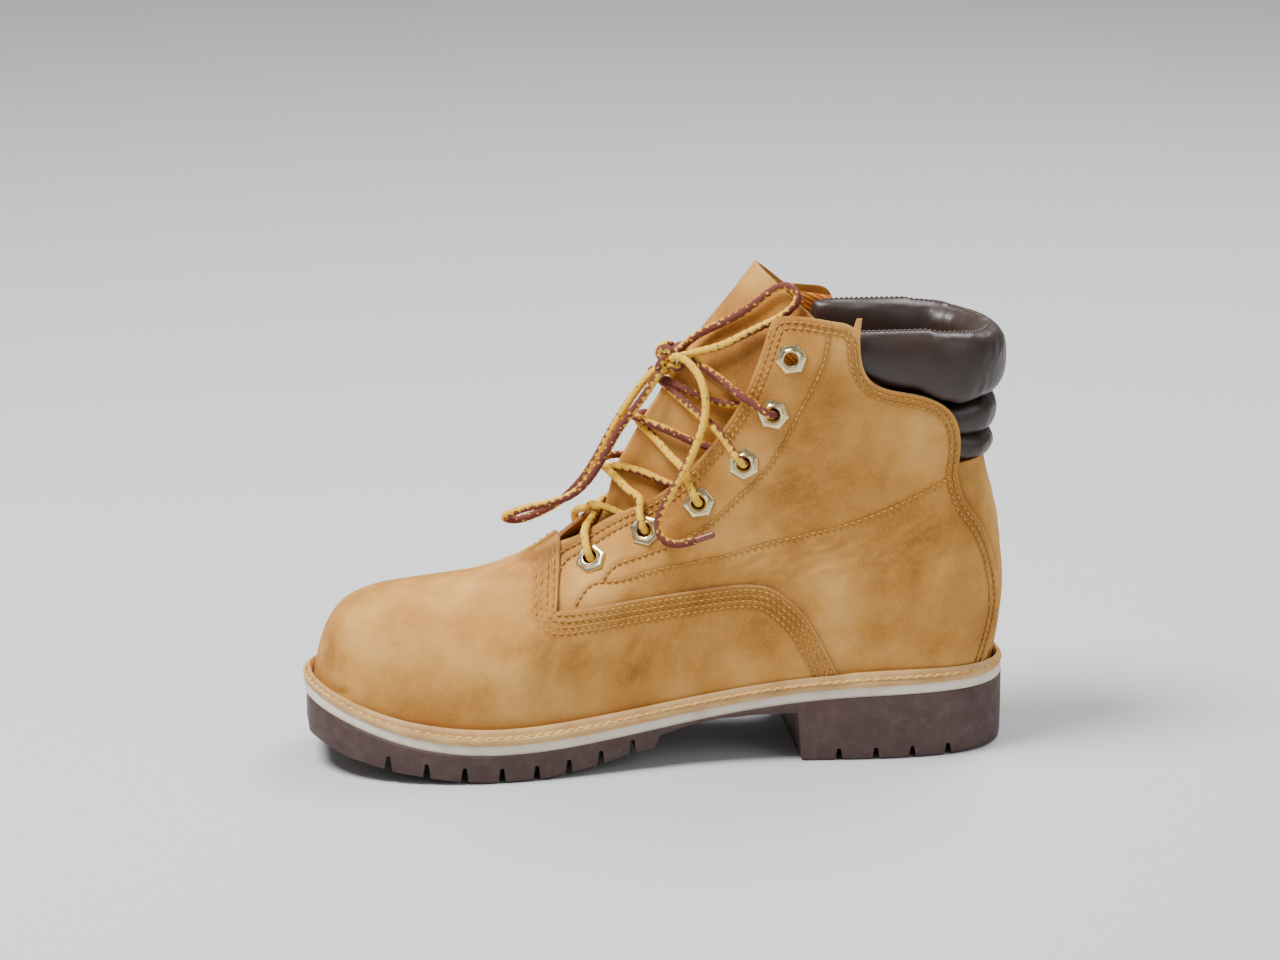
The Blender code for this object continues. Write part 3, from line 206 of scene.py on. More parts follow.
def front_z(x):
    """Height of the front profile, carried on steeply past its end."""
    beyond = np.maximum(np.asarray(x, float) - FRONT[-1, 0], 0)
    return np.interp(x, FRONT[:, 0], FRONT[:, 1]) + 1.3 * beyond


def back_x(z):
    return np.interp(z, BACK[:, 1], BACK[:, 0])


def dome(t):
    """Quarter of a superellipse: 0 at t = 0, full from t = 1 on."""
    return (1 - (1 - np.clip(t, 0, 1)) ** FULLNESS) ** (1 / FULLNESS)


def full_width(x, z):
    """Half-width of the boot away from its front and back curves."""
    high = step(z, 45, 115)
    width = table(FOOT_HALF_WIDTH, x) * (1 - high) + table(SHAFT_HALF_WIDTH, x) * high
    width = width + HEEL_SWELL * step(x, 20, 90) * np.exp(-(((z - 60) / 24) ** 2))
    width = width + COLLAR_FLARE * step(z, 135, 190)
    narrow = 1 - step((x - front_x(z)) / 62, 0, 1)
    return width * (1 - FACING_NARROWING * narrow * step(z, 70, 110))


def half_width(x, z, depth):
    """Half-width of the layer that lies at a depth under the outermost surface."""
    x = np.asarray(x, float)
    z = np.asarray(z, float)
    rounding = TOE_ROUNDING + (SHAFT_ROUNDING - TOE_ROUNDING) * step(z, 70, 120)
    front = dome((from_front(x, z) - depth) / (rounding - depth))
    back = dome((back_x(z) - x - depth) / (HEEL_ROUNDING - depth))
    return np.maximum(full_width(x, z) - depth, 0) * front * back


def place(points, side, depth):
    """Points (x, z) in side view, carried out to one side of the layer at a depth."""
    x = points[..., 0]
    z = points[..., 1]
    y = centre(x) + side * half_width(x, z, depth)
    return np.stack([x, y, z], axis=-1)


def from_front(x, z):
    """Distance from the front profile, by the rise and the run to it."""
    rise = np.maximum(front_z(x) - z, 1e-6)
    run = np.maximum(x - front_x(z), 1e-6)
    return rise * run / np.hypot(rise, run)


def ridge(depth_at, start, end, fractions):
    """Points (x, z) of a layer's front ridge between two x positions of the outermost profile.

    depth_at gives the layer's depth at heights z.
    """
    part = FRONT[(FRONT[:, 0] >= start) & (FRONT[:, 0] <= end)]
    ends = [[start, front_z(start)], [end, front_z(end)]]
    part = np.vstack([ends[:1], part, ends[1:]])
    points = along(part, fractions)
    ahead = along(part, np.clip(np.asarray(fractions) + 0.004, 0, 1))
    behind = along(part, np.clip(np.asarray(fractions) - 0.004, 0, 1))
    tangent = ahead - behind
    tangent /= np.linalg.norm(tangent, axis=-1, keepdims=True)
    inward = np.stack([tangent[:, 1], -tangent[:, 0]], axis=-1)
    reach = depth_at(points[:, 1])
    for _ in range(12):
        at = points + inward * reach[:, None]
        reach = reach + depth_at(at[:, 1]) - from_front(at[:, 0], at[:, 1])
    return points + inward * reach[:, None]


def level(depth):
    """A layer that keeps one depth at every height."""
    return lambda z: np.full(np.shape(z), float(depth))


def outsole_top(x):
    return table(OUTSOLE_TOP, x)


def lifted(xs, lift):
    """Points (x, z) along the sole, lifted above the outsole's top face."""
    xs = np.asarray(xs, float)
    return np.stack([xs, outsole_top(xs) + lift], axis=-1)


def patch(bottom, top, left, right, fractions):
    """Grid of (x, z) points between four edge curves, rows from bottom to top.

    The columns stand at the given fractions of the way from left to right.
    """
    v = np.linspace(0, 1, len(left))[:, None, None]
    u = np.asarray(fractions)[None, :, None]
    across = left[:, None] * (1 - u) + right[:, None] * u
    up = bottom[None] * (1 - v) + top[None] * v
    corners = (bottom[0] * (1 - u) + bottom[-1] * u) * (1 - v) + (top[0] * (1 - u) + top[-1] * u) * v
    return across + up - corners


def between(low, high, fractions):
    """Rows of points between two curves at the given fractions."""
    f = np.asarray(fractions)[:, None, None]
    return low[None] * (1 - f) + high[None] * f

OUTLINE = closed_loop(SOLE_OUTLINE, 900)
HEEL_ROW = int(np.argmax(OUTLINE[:, 0]))
LATERAL_EDGE = OUTLINE[: HEEL_ROW + 1]
MEDIAL_EDGE = OUTLINE[HEEL_ROW:][::-1]


def sole_edges(xs):
    """Medial and lateral y of the sole's outline at each x."""
    lateral = np.interp(xs, LATERAL_EDGE[:, 0], LATERAL_EDGE[:, 1])
    medial = np.interp(xs, MEDIAL_EDGE[:, 0], MEDIAL_EDGE[:, 1])
    middle = (lateral + medial) / 2
    half = np.maximum((lateral - medial) / 2, 0.6)
    return middle - half, middle + half


def stations(start, end, count):
    """Places along X, closer together towards both ends."""
    t = np.linspace(0, math.pi, count)
    return (start + end) / 2 - (end - start) / 2 * np.cos(t)

TREAD = [
    (TOE_X + 1, 15), (-135, 9), (-115, 4.5), (-95, 1.5), (-76, 0), (-54, 0), (-41, 1.5), (-27, 4),
    (-13, 7.5), (-4, 8.5), (-2, 14), (10, 17.5), (24, 19.8), (40, 20.8), (58, 21.3), (60, 0),
]
HEEL_TREAD_END = 150.0
FOREFOOT_GROOVES = [-119, -103, -87, -71, -56, -42, -28, -14]
HEEL_GROOVES = [76, 92, 108, 124]
GROOVE_WIDTH = 3.4
FOREFOOT_GROOVE_DEPTH = 6.5
HEEL_GROOVE_DEPTH = 5.0


def tread_height(x):
    return float(np.interp(x, [p[0] for p in TREAD], [p[1] for p in TREAD]))


def outer_depth(x):
    """Depth of whichever layer is outermost along the feather line."""
    behind_wing = step(x, WING_END_X - 2, WING_END_X + 8)
    behind_seam = step(x, BACKSTAY_FOOT_X + 4, BACKSTAY_FOOT_X + 9)
    return QUARTER_DEPTH * behind_wing + (BACKSTAY_DEPTH - QUARTER_DEPTH) * behind_seam


def feather_outline(count):
    """Closed outline (x, y) of the upper where it meets the welt, starting at the toe."""
    fine = np.linspace(0, 1, 500) ** 2
    mid = 0.0
    toe_height = outsole_top(TOE_X) + UPPER_LIFT
    heel_height = outsole_top(HEEL_X) + UPPER_LIFT
    toe = front_x(toe_height)
    heel = back_x(heel_height) - BACKSTAY_DEPTH
    xs = np.concatenate([toe + (mid - toe) * fine, heel + (mid - heel) * fine[::-1][1:]])
    heights = [outsole_top(xs) + UPPER_LIFT + rise for rise in (0, 3.5, 7)]
    half = np.max([half_width(xs, z, outer_depth(xs)) for z in heights], axis=0)
    half[0] = 0
    half[-1] = 0
    lateral = np.stack([xs, centre(xs) + half], axis=-1)
    medial = np.stack([xs, centre(xs) - half], axis=-1)[::-1]
    closed = np.vstack([lateral, medial[1:]])
    return along(closed, np.arange(count) / count)


def outward(loop):
    """Outward unit normals of a closed loop that runs toe, lateral side, heel, medial side."""
    tangent = np.roll(loop, -1, axis=0) - np.roll(loop, 1, axis=0)
    tangent /= np.linalg.norm(tangent, axis=1, keepdims=True)
    return np.stack([-tangent[:, 1], tangent[:, 0]], axis=-1)

POLE_Z = outsole_top(-148.0) + UPPER_LIFT


def closer_behind(columns):
    """Fractions from front to back that lie closer together round the heel."""
    t = np.linspace(0, 1, columns)
    return t + 0.05 * np.sin(math.pi * t)


def quarter_outline(across, rows):
    """Four edges of a quarter in side view."""
    foot = lifted(QUARTER_FOOT_X + (BACKSTAY_FOOT_X - QUARTER_FOOT_X) * across, UPPER_LIFT)
    wing_front = dense([tuple(foot[0]), (-57, 50), (-55, 74), FACING_EDGE[0]], 60)
    front = np.vstack([wing_front, dense(FACING_EDGE)])
    border = dense(COLLAR_BORDER)
    corner = int(np.argmin(np.abs(border[:, 0] - border[:, 1] + 27)))
    seam = dense(BACKSTAY_SEAM + [tuple(foot[-1])], 80)[::-1]
    back = np.vstack([seam, border[corner:][::-1]])
    top = along(np.vstack([dense(QUARTER_TOP), border[: corner + 1]]), across)
    fractions = np.linspace(0, 1, rows)
    return foot, top, along(front, fractions), along(back, fractions)


def surface_normal(x, z, side, depth):
    """Outward unit normal of a layer at a side-view point."""
    reach = 0.5
    at = place(np.array([[x - reach, z], [x + reach, z], [x, z - reach], [x, z + reach]]), side, depth)
    normal = np.cross(at[1] - at[0], at[3] - at[2]) * -side
    return normal / np.linalg.norm(normal)


def frame_of(normal):
    """Two unit vectors square to a normal, the first one level."""
    u = np.cross([0, 0, 1], normal)
    u /= np.linalg.norm(u)
    return u, np.cross(normal, u)


def eyelet_axis(index, side):
    x, z = EYELETS[index]
    origin = place(np.array([x, z]), side, QUARTER_DEPTH)
    return origin, surface_normal(x, z, side, QUARTER_DEPTH)


def heel_wrap(depth, front, heights, columns):
    """Grid round the heel from a front edge (x at each height) to the back curve."""
    k = 1 - np.linspace(1, 0, columns) ** 2
    front = np.stack([front, heights], axis=-1)
    rear = np.stack([back_x(heights) - depth, heights], axis=-1)
    return front[:, None] * (1 - k[None, :, None]) + rear[:, None] * k[None, :, None]

COLLAR_ROLLS = ["collar_roll_top", "collar_roll_middle", "collar_roll_bottom"]
TONGUE_ROOT_X = -46.0
TONGUE_ROOT_DROP = 12.5
TONGUE_ROUNDING = 38.0
TONGUE_TIP_X = 43.0
TONGUE_LOWER = 0.6
TONGUE_EDGE = [(-30, 80), (-12, 90), (14, 104), (37, 121), (52, 142), (62, 164), (68, 190)]


def tongue_drop(z):
    """How far the tongue lies under the front profile: most at its root, under the facings."""
    return TONGUE_ROOT_DROP * (1 - step(z, 86, 128))


def tongue_place(points, side, lower_by):
    """Points of the tongue: it reaches the front ridge, but is narrower than the shaft."""
    x = points[..., 0]
    z = points[..., 1]
    depth = lower_by + tongue_drop(z)
    front = dome((from_front(x, z) - depth) / (TONGUE_ROUNDING - depth))
    y = centre(x) + side * (full_width(x, z) - TONGUE_DEPTH - lower_by) * front
    return np.stack([x, y, z], axis=-1)

LACED_ROWS = 5
LACE_LIFT = LACE_RADIUS + 0.8
CROSSING_LIFT = 2 * LACE_RADIUS + 1.0
UNDER_FACING = -7.4
BAR_LIFT = LACE_LIFT + 0.6
SHARES = (0.75, 0.5, 0.25)


def quarter_point(x, z, side, height):
    """A point at a height over a quarter's outer face; under it where the height is negative."""
    origin = place(np.array([x, z]), side, QUARTER_DEPTH)
    return origin + surface_normal(x, z, side, QUARTER_DEPTH) * height


def tongue_point(x, z, side, height):
    """A point at a height over the tongue's outer face."""
    reach = 0.5
    near = np.array([[x - reach, z], [x + reach, z], [x, z - reach], [x, z + reach]])
    at = tongue_place(near, side, TONGUE_LOWER)
    normal = np.cross(at[1] - at[0], at[3] - at[2]) * -side
    normal /= np.linalg.norm(normal)
    return tongue_place(np.array([x, z]), side, TONGUE_LOWER) + normal * height

FACING = dense(FACING_EDGE, 400)
CROWN = ridge(lambda z: TONGUE_LOWER + tongue_drop(z), TONGUE_ROOT_X, TONGUE_TIP_X, np.linspace(0, 1, 400))


def nearest(curve, point):
    return curve[int(np.argmin(np.linalg.norm(curve - np.asarray(point), axis=1)))]


def facing_at(row):
    """Side-view point of the facing edge abreast of an eyelet row; rows in between are mixed."""
    low = min(int(row), len(EYELETS) - 2)
    mix = row - low
    ends = [nearest(FACING, EYELETS[low]), nearest(FACING, EYELETS[low + 1])]
    return ends[0] * (1 - mix) + ends[1] * mix


def over_ridge(row, side, share, lift):
    """A point over the tongue between the facing edge (share 1) and the ridge (share 0)."""
    edge = facing_at(row)
    crown = nearest(CROWN, edge)
    if share == 0:
        tangent = nearest(CROWN, crown + [3, 4]) - nearest(CROWN, crown - [3, 4])
        ahead = np.array([-tangent[1], tangent[0]]) / np.linalg.norm(tangent)
        at = crown + ahead * lift
        return np.array([at[0], centre(crown[0]), at[1]])
    x, z = crown * (1 - share**2) + edge * share**2
    return tongue_point(x, z, side, lift)


def inside_eyelet(row, side):
    """The lace's way from under the facing edge out through an eyelet."""
    x, z = EYELETS[row]
    edge = facing_at(row)
    toward = (edge - [x, z]) / np.linalg.norm(edge - [x, z])
    approach = [(4.6, UNDER_FACING), (0.8, UNDER_FACING), (0, -4.2), (0, 0.2)]
    return [quarter_point(x + toward[0] * a, z + toward[1] * a, side, h) for a, h in approach]


def outside_eyelet(row, side, leave_row):
    """The lace's way from an eyelet's front over the facing edge towards a row."""
    x, z = EYELETS[row]
    edge = facing_at(leave_row)
    away = (edge - [x, z]) / np.linalg.norm(edge - [x, z])
    over_rim = [(0.4, 3.0), (3.6, 4.6), (8, 3.6)]
    return [quarter_point(x + away[0] * a, z + away[1] * a, side, h) for a, h in over_rim]


def strand(row, side, lift, cross=0.5):
    """From an eyelet's front across the tongue and out through the next eyelet up, opposite.

    The two strands of a row cross over the ridge at a share of the way to the next row.
    """
    other = -side
    points = outside_eyelet(row, side, row + 0.2)
    edge = facing_at(row + 0.22)
    points.append(quarter_point(*edge, side, LACE_LIFT))
    top = over_ridge(row + cross, side, 0, lift)
    points += [points[-1] * share + top * (1 - share) for share in SHARES + (0.12,)]
    points.append(top)
    for share in SHARES[::-1]:
        height = LACE_LIFT + (lift - LACE_LIFT) * (1 - share**2)
        points.append(over_ridge(row + cross + share * 0.24, other, share, height))
    points.append(quarter_point(*facing_at(row + 0.8), other, UNDER_FACING))
    return points + inside_eyelet(row + 1, other)


def threaded_route():
    """One lace: a bar inside row one, then both halves criss-cross up to row five."""
    halves = []
    for side in (MEDIAL, LATERAL):
        half = inside_eyelet(0, side)
        at = side
        for row in range(LACED_ROWS - 1):
            raised = CROSSING_LIFT if side == LATERAL else 0.0
            cross = 0.5 if row < LACED_ROWS - 2 else 0.36
            half += strand(row, at, LACE_LIFT + raised, cross)
            at = -at
        half += outside_eyelet(LACED_ROWS - 1, at, LACED_ROWS - 0.95)
        edge = facing_at(LACED_ROWS - 0.95)
        half.append(quarter_point(*edge, at, LACE_LIFT))
        half += [over_ridge(LACED_ROWS - 0.98, at, share, LACE_LIFT + 0.4) for share in SHARES]
        halves.append(half)
    bar = [over_ridge(0, MEDIAL, share, BAR_LIFT) for share in SHARES[1:] + (0,)]
    bar += [over_ridge(0, LATERAL, share, BAR_LIFT) for share in SHARES[:0:-1]]
    return halves[0][::-1] + bar + halves[1]

LACE_ROUTES = {
    "lace_loop_front": [
        (0.5, -9, 165.5), (-6, -9.5, 156), (-15, -9.5, 144), (-21.5, -9.5, 133), (-28, -10, 122.5),
        (-36, -11, 115), (-46, -12, 111.5), (-56, -11.5, 109.5), (-63, -7.5, 106), (-64.5, -1.5, 102.5),
        (-60, 2.5, 100.5), (-51, 2, 103), (-42, -1, 108.5), (-33, -3.5, 117.5), (-26, -4.5, 128),
        (-19.5, -4.5, 140), (-12.5, -4.5, 151.5), (-1, -4.5, 166),
    ],
    "lace_loop_rear": [
        (10.5, -5.5, 176), (16, -6.5, 181), (24, -9, 186), (32, -12, 190.5), (41, -15, 197),
        (49, -17, 203.5), (55, -20, 205.5), (58.5, -23, 201.5), (55, -23.5, 196), (47, -21.5, 190.5),
        (37, -18.5, 185), (27, -15.5, 179.5), (15, -11.5, 175.5),
    ],
    "lace_end_medial": [
        (8.5, -12.5, 174.5), (14.5, -18.5, 171), (18, -23.5, 164.5), (19, -26.5, 155), (16, -29.5, 143.5),
        (10.5, -31.5, 132), (5, -32.5, 122.5), (0.5, -32, 114), (-2, -32.5, 106), (0, -34.5, 100),
        (6, -35.5, 98), (13, -36, 99.5),
    ],
    "lace_end_lateral": [
        (2, -0.5, 173), (5, 7, 175), (11, 15.5, 171.5), (16, 23, 163.5), (18.5, 28, 155),
        (16.5, 32.5, 144), (12, 35.5, 133), (6.5, 37, 123), (2.5, 37, 114), (3, 38, 105.5),
        (8, 40, 100), (15, 41, 98.5),
    ],
}
AGLET_LENGTH = 9.0
AGLET_RADIUS = 1.5
KNOT_CENTRE = (5.5, -6.5, 171.5)


def polyline_length(points):
    return float(np.sum(np.linalg.norm(np.diff(points, axis=0), axis=1)))


def normals_at(points, side, depth):
    """Outward unit normals of a layer at side-view points."""
    reach = 0.4
    back = place(points - [reach, 0], side, depth)
    ahead = place(points + [reach, 0], side, depth)
    below = place(points - [0, reach], side, depth)
    above = place(points + [0, reach], side, depth)
    normal = np.cross(ahead - back, above - below) * -side
    return normal / np.maximum(np.linalg.norm(normal, axis=-1, keepdims=True), 1e-9)


def resample(points, spacing):
    """A line again, with points as near the spacing as fits."""
    points = np.asarray(points, float)
    count = max(int(round(polyline_length(points) / spacing)), 2)
    return along(points, np.linspace(0, 1, count + 1))


def distance_to(points, line):
    """Distance from each side-view point to a line given by close points."""
    flat = points.reshape(-1, 2)
    nearest_gap = np.full(len(flat), 1e9)
    for start in range(0, len(flat), 4000):
        block = flat[start:start + 4000]
        gaps = np.linalg.norm(block[:, None] - line[None], axis=-1)
        nearest_gap[start:start + 4000] = gaps.min(axis=1)
    return nearest_gap.reshape(points.shape[:-1])


# ---------------------------------------------------------------- camera, lights and floor
CAMERA_YAW = math.radians(6.5)
CAMERA_RISE = math.radians(15.0)
CAMERA_DISTANCE = 2.2
CAMERA_LENS = 143.7
TARGET_RIGHT = -0.006
TARGET_HEIGHT = 0.117


def add_camera():
    right = Vector((math.cos(CAMERA_YAW), -math.sin(CAMERA_YAW), 0))
    toward = Vector((-math.sin(CAMERA_YAW), -math.cos(CAMERA_YAW), 0))
    target = right * TARGET_RIGHT + Vector((0, 0, TARGET_HEIGHT))
    direction = toward * math.cos(CAMERA_RISE) + Vector((0, 0, math.sin(CAMERA_RISE)))
    data = bpy.data.cameras.new("camera")
    data.sensor_width = 36.0
    data.lens = CAMERA_LENS
    data.clip_start = 0.05
    data.clip_end = 20
    camera = bpy.data.objects.new("camera", data)
    camera.location = target + direction * CAMERA_DISTANCE
    camera.rotation_euler = (-direction).to_track_quat("-Z", "Y").to_euler()
    bpy.context.scene.collection.objects.link(camera)
    bpy.context.scene.camera = camera


def add_light(name, location, size, power, colour=(1, 1, 1)):
    data = bpy.data.lights.new(name, "AREA")
    data.shape = "DISK"
    data.size = size
    data.energy = power
    data.color = colour
    light = bpy.data.objects.new(name, data)
    light.location = location
    light.rotation_euler = (Vector((0, 0, 0.09)) - Vector(location)).to_track_quat("-Z", "Y").to_euler()
    bpy.context.scene.collection.objects.link(light)


def add_studio():
    add_light("key", (-0.8, -0.25, 1.8), 0.9, 66, (1.0, 0.985, 0.96))
    add_light("fill", (1.2, -1.2, 1.0), 1.3, 8, (0.98, 0.99, 1.0))
    add_light("rim", (0.7, 0.8, 1.5), 1.0, 24)
    world = bpy.data.worlds.new("studio")
    world.use_nodes = True
    world.node_tree.nodes["Background"].inputs["Color"].default_value = (0.83, 0.83, 0.84, 1)
    world.node_tree.nodes["Background"].inputs["Strength"].default_value = 0.32
    bpy.context.scene.world = world
    floor_mesh = bpy.data.meshes.new("floor")
    bm = bmesh.new()
    bmesh.ops.create_grid(bm, x_segments=1, y_segments=1, size=6)
    bm.to_mesh(floor_mesh)
    bm.free()
    floor = bpy.data.objects.new("floor", floor_mesh)
    floor.location = (0, 0, -0.0004)
    bpy.context.scene.collection.objects.link(floor)
    finish = Finish("pale_floor", (0.62, 0.63, 0.65), 0.9)
    floor_mesh.materials.append(finish.material)


# ---------------------------------------------------------------- materials
class Finish:
    """A Principled material with a few helpers for its colour and bump nodes."""

    def __init__(self, name, colour, roughness, metallic=0.0):
        self.material = bpy.data.materials.new(name)
        self.material.use_nodes = True
        self.nodes = self.material.node_tree.nodes
        self.links = self.material.node_tree.links
        self.shader = self.nodes["Principled BSDF"]
        self.shader.inputs["Base Color"].default_value = (*colour, 1)
        self.shader.inputs["Roughness"].default_value = roughness
        self.shader.inputs["Metallic"].default_value = metallic
        self.place = self.nodes.new("ShaderNodeTexCoord").outputs["Object"]
        self.bump = None

    def noise(self, scale, detail, roughness=0.55):
        node = self.nodes.new("ShaderNodeTexNoise")
        node.inputs["Scale"].default_value = scale
        node.inputs["Detail"].default_value = detail
        node.inputs["Roughness"].default_value = roughness
        self.links.new(self.place, node.inputs["Vector"])
        return node.outputs["Fac"]

    def cells(self, scale):
        node = self.nodes.new("ShaderNodeTexVoronoi")
        node.feature = "F1"
        node.inputs["Scale"].default_value = scale
        self.links.new(self.place, node.inputs["Vector"])
        return node.outputs["Distance"]

    def ribs(self, scale, turn=(0, 0, 0), distortion=0.6):
        node = self.nodes.new("ShaderNodeTexWave")
        node.inputs["Scale"].default_value = scale
        node.inputs["Distortion"].default_value = distortion
        node.inputs["Detail"].default_value = 1.0
        mapping = self.nodes.new("ShaderNodeMapping")
        mapping.inputs["Rotation"].default_value = turn
        self.links.new(self.place, mapping.inputs["Vector"])
        self.links.new(mapping.outputs["Vector"], node.inputs["Vector"])
        return node.outputs["Fac"]

    def attribute(self, name):
        node = self.nodes.new("ShaderNodeAttribute")
        node.attribute_name = name
        return node.outputs["Fac"]

    def ramp(self, factor, stops):
        node = self.nodes.new("ShaderNodeValToRGB")
        ramp = node.color_ramp
        while len(ramp.elements) < len(stops):
            ramp.elements.new(0.5)
        for element, (position, colour) in zip(ramp.elements, stops):
            element.position = position
            element.color = (*colour, 1)
        self.links.new(factor, node.inputs["Fac"])
        return node.outputs["Color"]

    def grey(self, factor, low, high, start=0.3, end=0.7):
        """The factor spread between two values."""
        node = self.nodes.new("ShaderNodeMapRange")
        node.inputs["From Min"].default_value = start
        node.inputs["From Max"].default_value = end
        node.inputs["To Min"].default_value = low
        node.inputs["To Max"].default_value = high
        self.links.new(factor, node.inputs["Value"])
        return node.outputs["Result"]

    def mix(self, factor, first, second):
        """From the first colour at factor 0 to the second at 1; each may be a socket or a constant."""
        node = self.nodes.new("ShaderNodeMix")
        node.data_type = "RGBA"
        for value, socket in ((factor, node.inputs[0]), (first, node.inputs[6]), (second, node.inputs[7])):
            if isinstance(value, bpy.types.NodeSocket):
                self.links.new(value, socket)
            elif isinstance(value, tuple):
                socket.default_value = (*value, 1)
            else:
                socket.default_value = value
        return node.outputs[2]

    def add_bump(self, height, strength, distance):
        node = self.nodes.new("ShaderNodeBump")
        node.inputs["Strength"].default_value = strength
        node.inputs["Distance"].default_value = distance
        self.links.new(height, node.inputs["Height"])
        if self.bump:
            self.links.new(self.bump, node.inputs["Normal"])
        self.bump = node.outputs["Normal"]
        self.links.new(self.bump, self.shader.inputs["Normal"])

    def colour_from(self, socket):
        self.links.new(socket, self.shader.inputs["Base Color"])

    def roughness_from(self, socket):
        self.links.new(socket, self.shader.inputs["Roughness"])

    def sheen(self, weight, roughness, tint):
        self.shader.inputs["Sheen Weight"].default_value = weight
        self.shader.inputs["Sheen Roughness"].default_value = roughness
        self.shader.inputs["Sheen Tint"].default_value = (*tint, 1)


def nubuck(name, light, middle, dark):
    finish = Finish(name, middle, 0.88)
    clouds = finish.ramp(finish.noise(24, 5), [(0.34, dark), (0.49, middle), (0.66, light)])
    patches = finish.grey(finish.noise(75, 5, roughness=0.7), 0.0, 0.45)
    colour = finish.mix(patches, clouds, middle)
    flecks = finish.grey(finish.noise(900, 2), 0.0, 0.22, 0.45, 0.75)
    colour = finish.mix(flecks, colour, light)
    # the shade attribute: painted shade along stitch rows and seams, and darker towards the bottom
    shade = finish.attribute("shade")
    colour = finish.mix(shade, colour, dark)
    scuff = finish.attribute("scuff")
    colour = finish.mix(scuff, colour, light)
    finish.colour_from(colour)
    finish.add_bump(finish.noise(2600, 3), 0.35, 0.00012)
    finish.add_bump(finish.noise(420, 4), 0.30, 0.00030)
    finish.add_bump(finish.noise(110, 4), 0.25, 0.0008)
    finish.sheen(0.18, 0.5, light)
    finish.shader.inputs["Specular IOR Level"].default_value = 0.25
    return finish


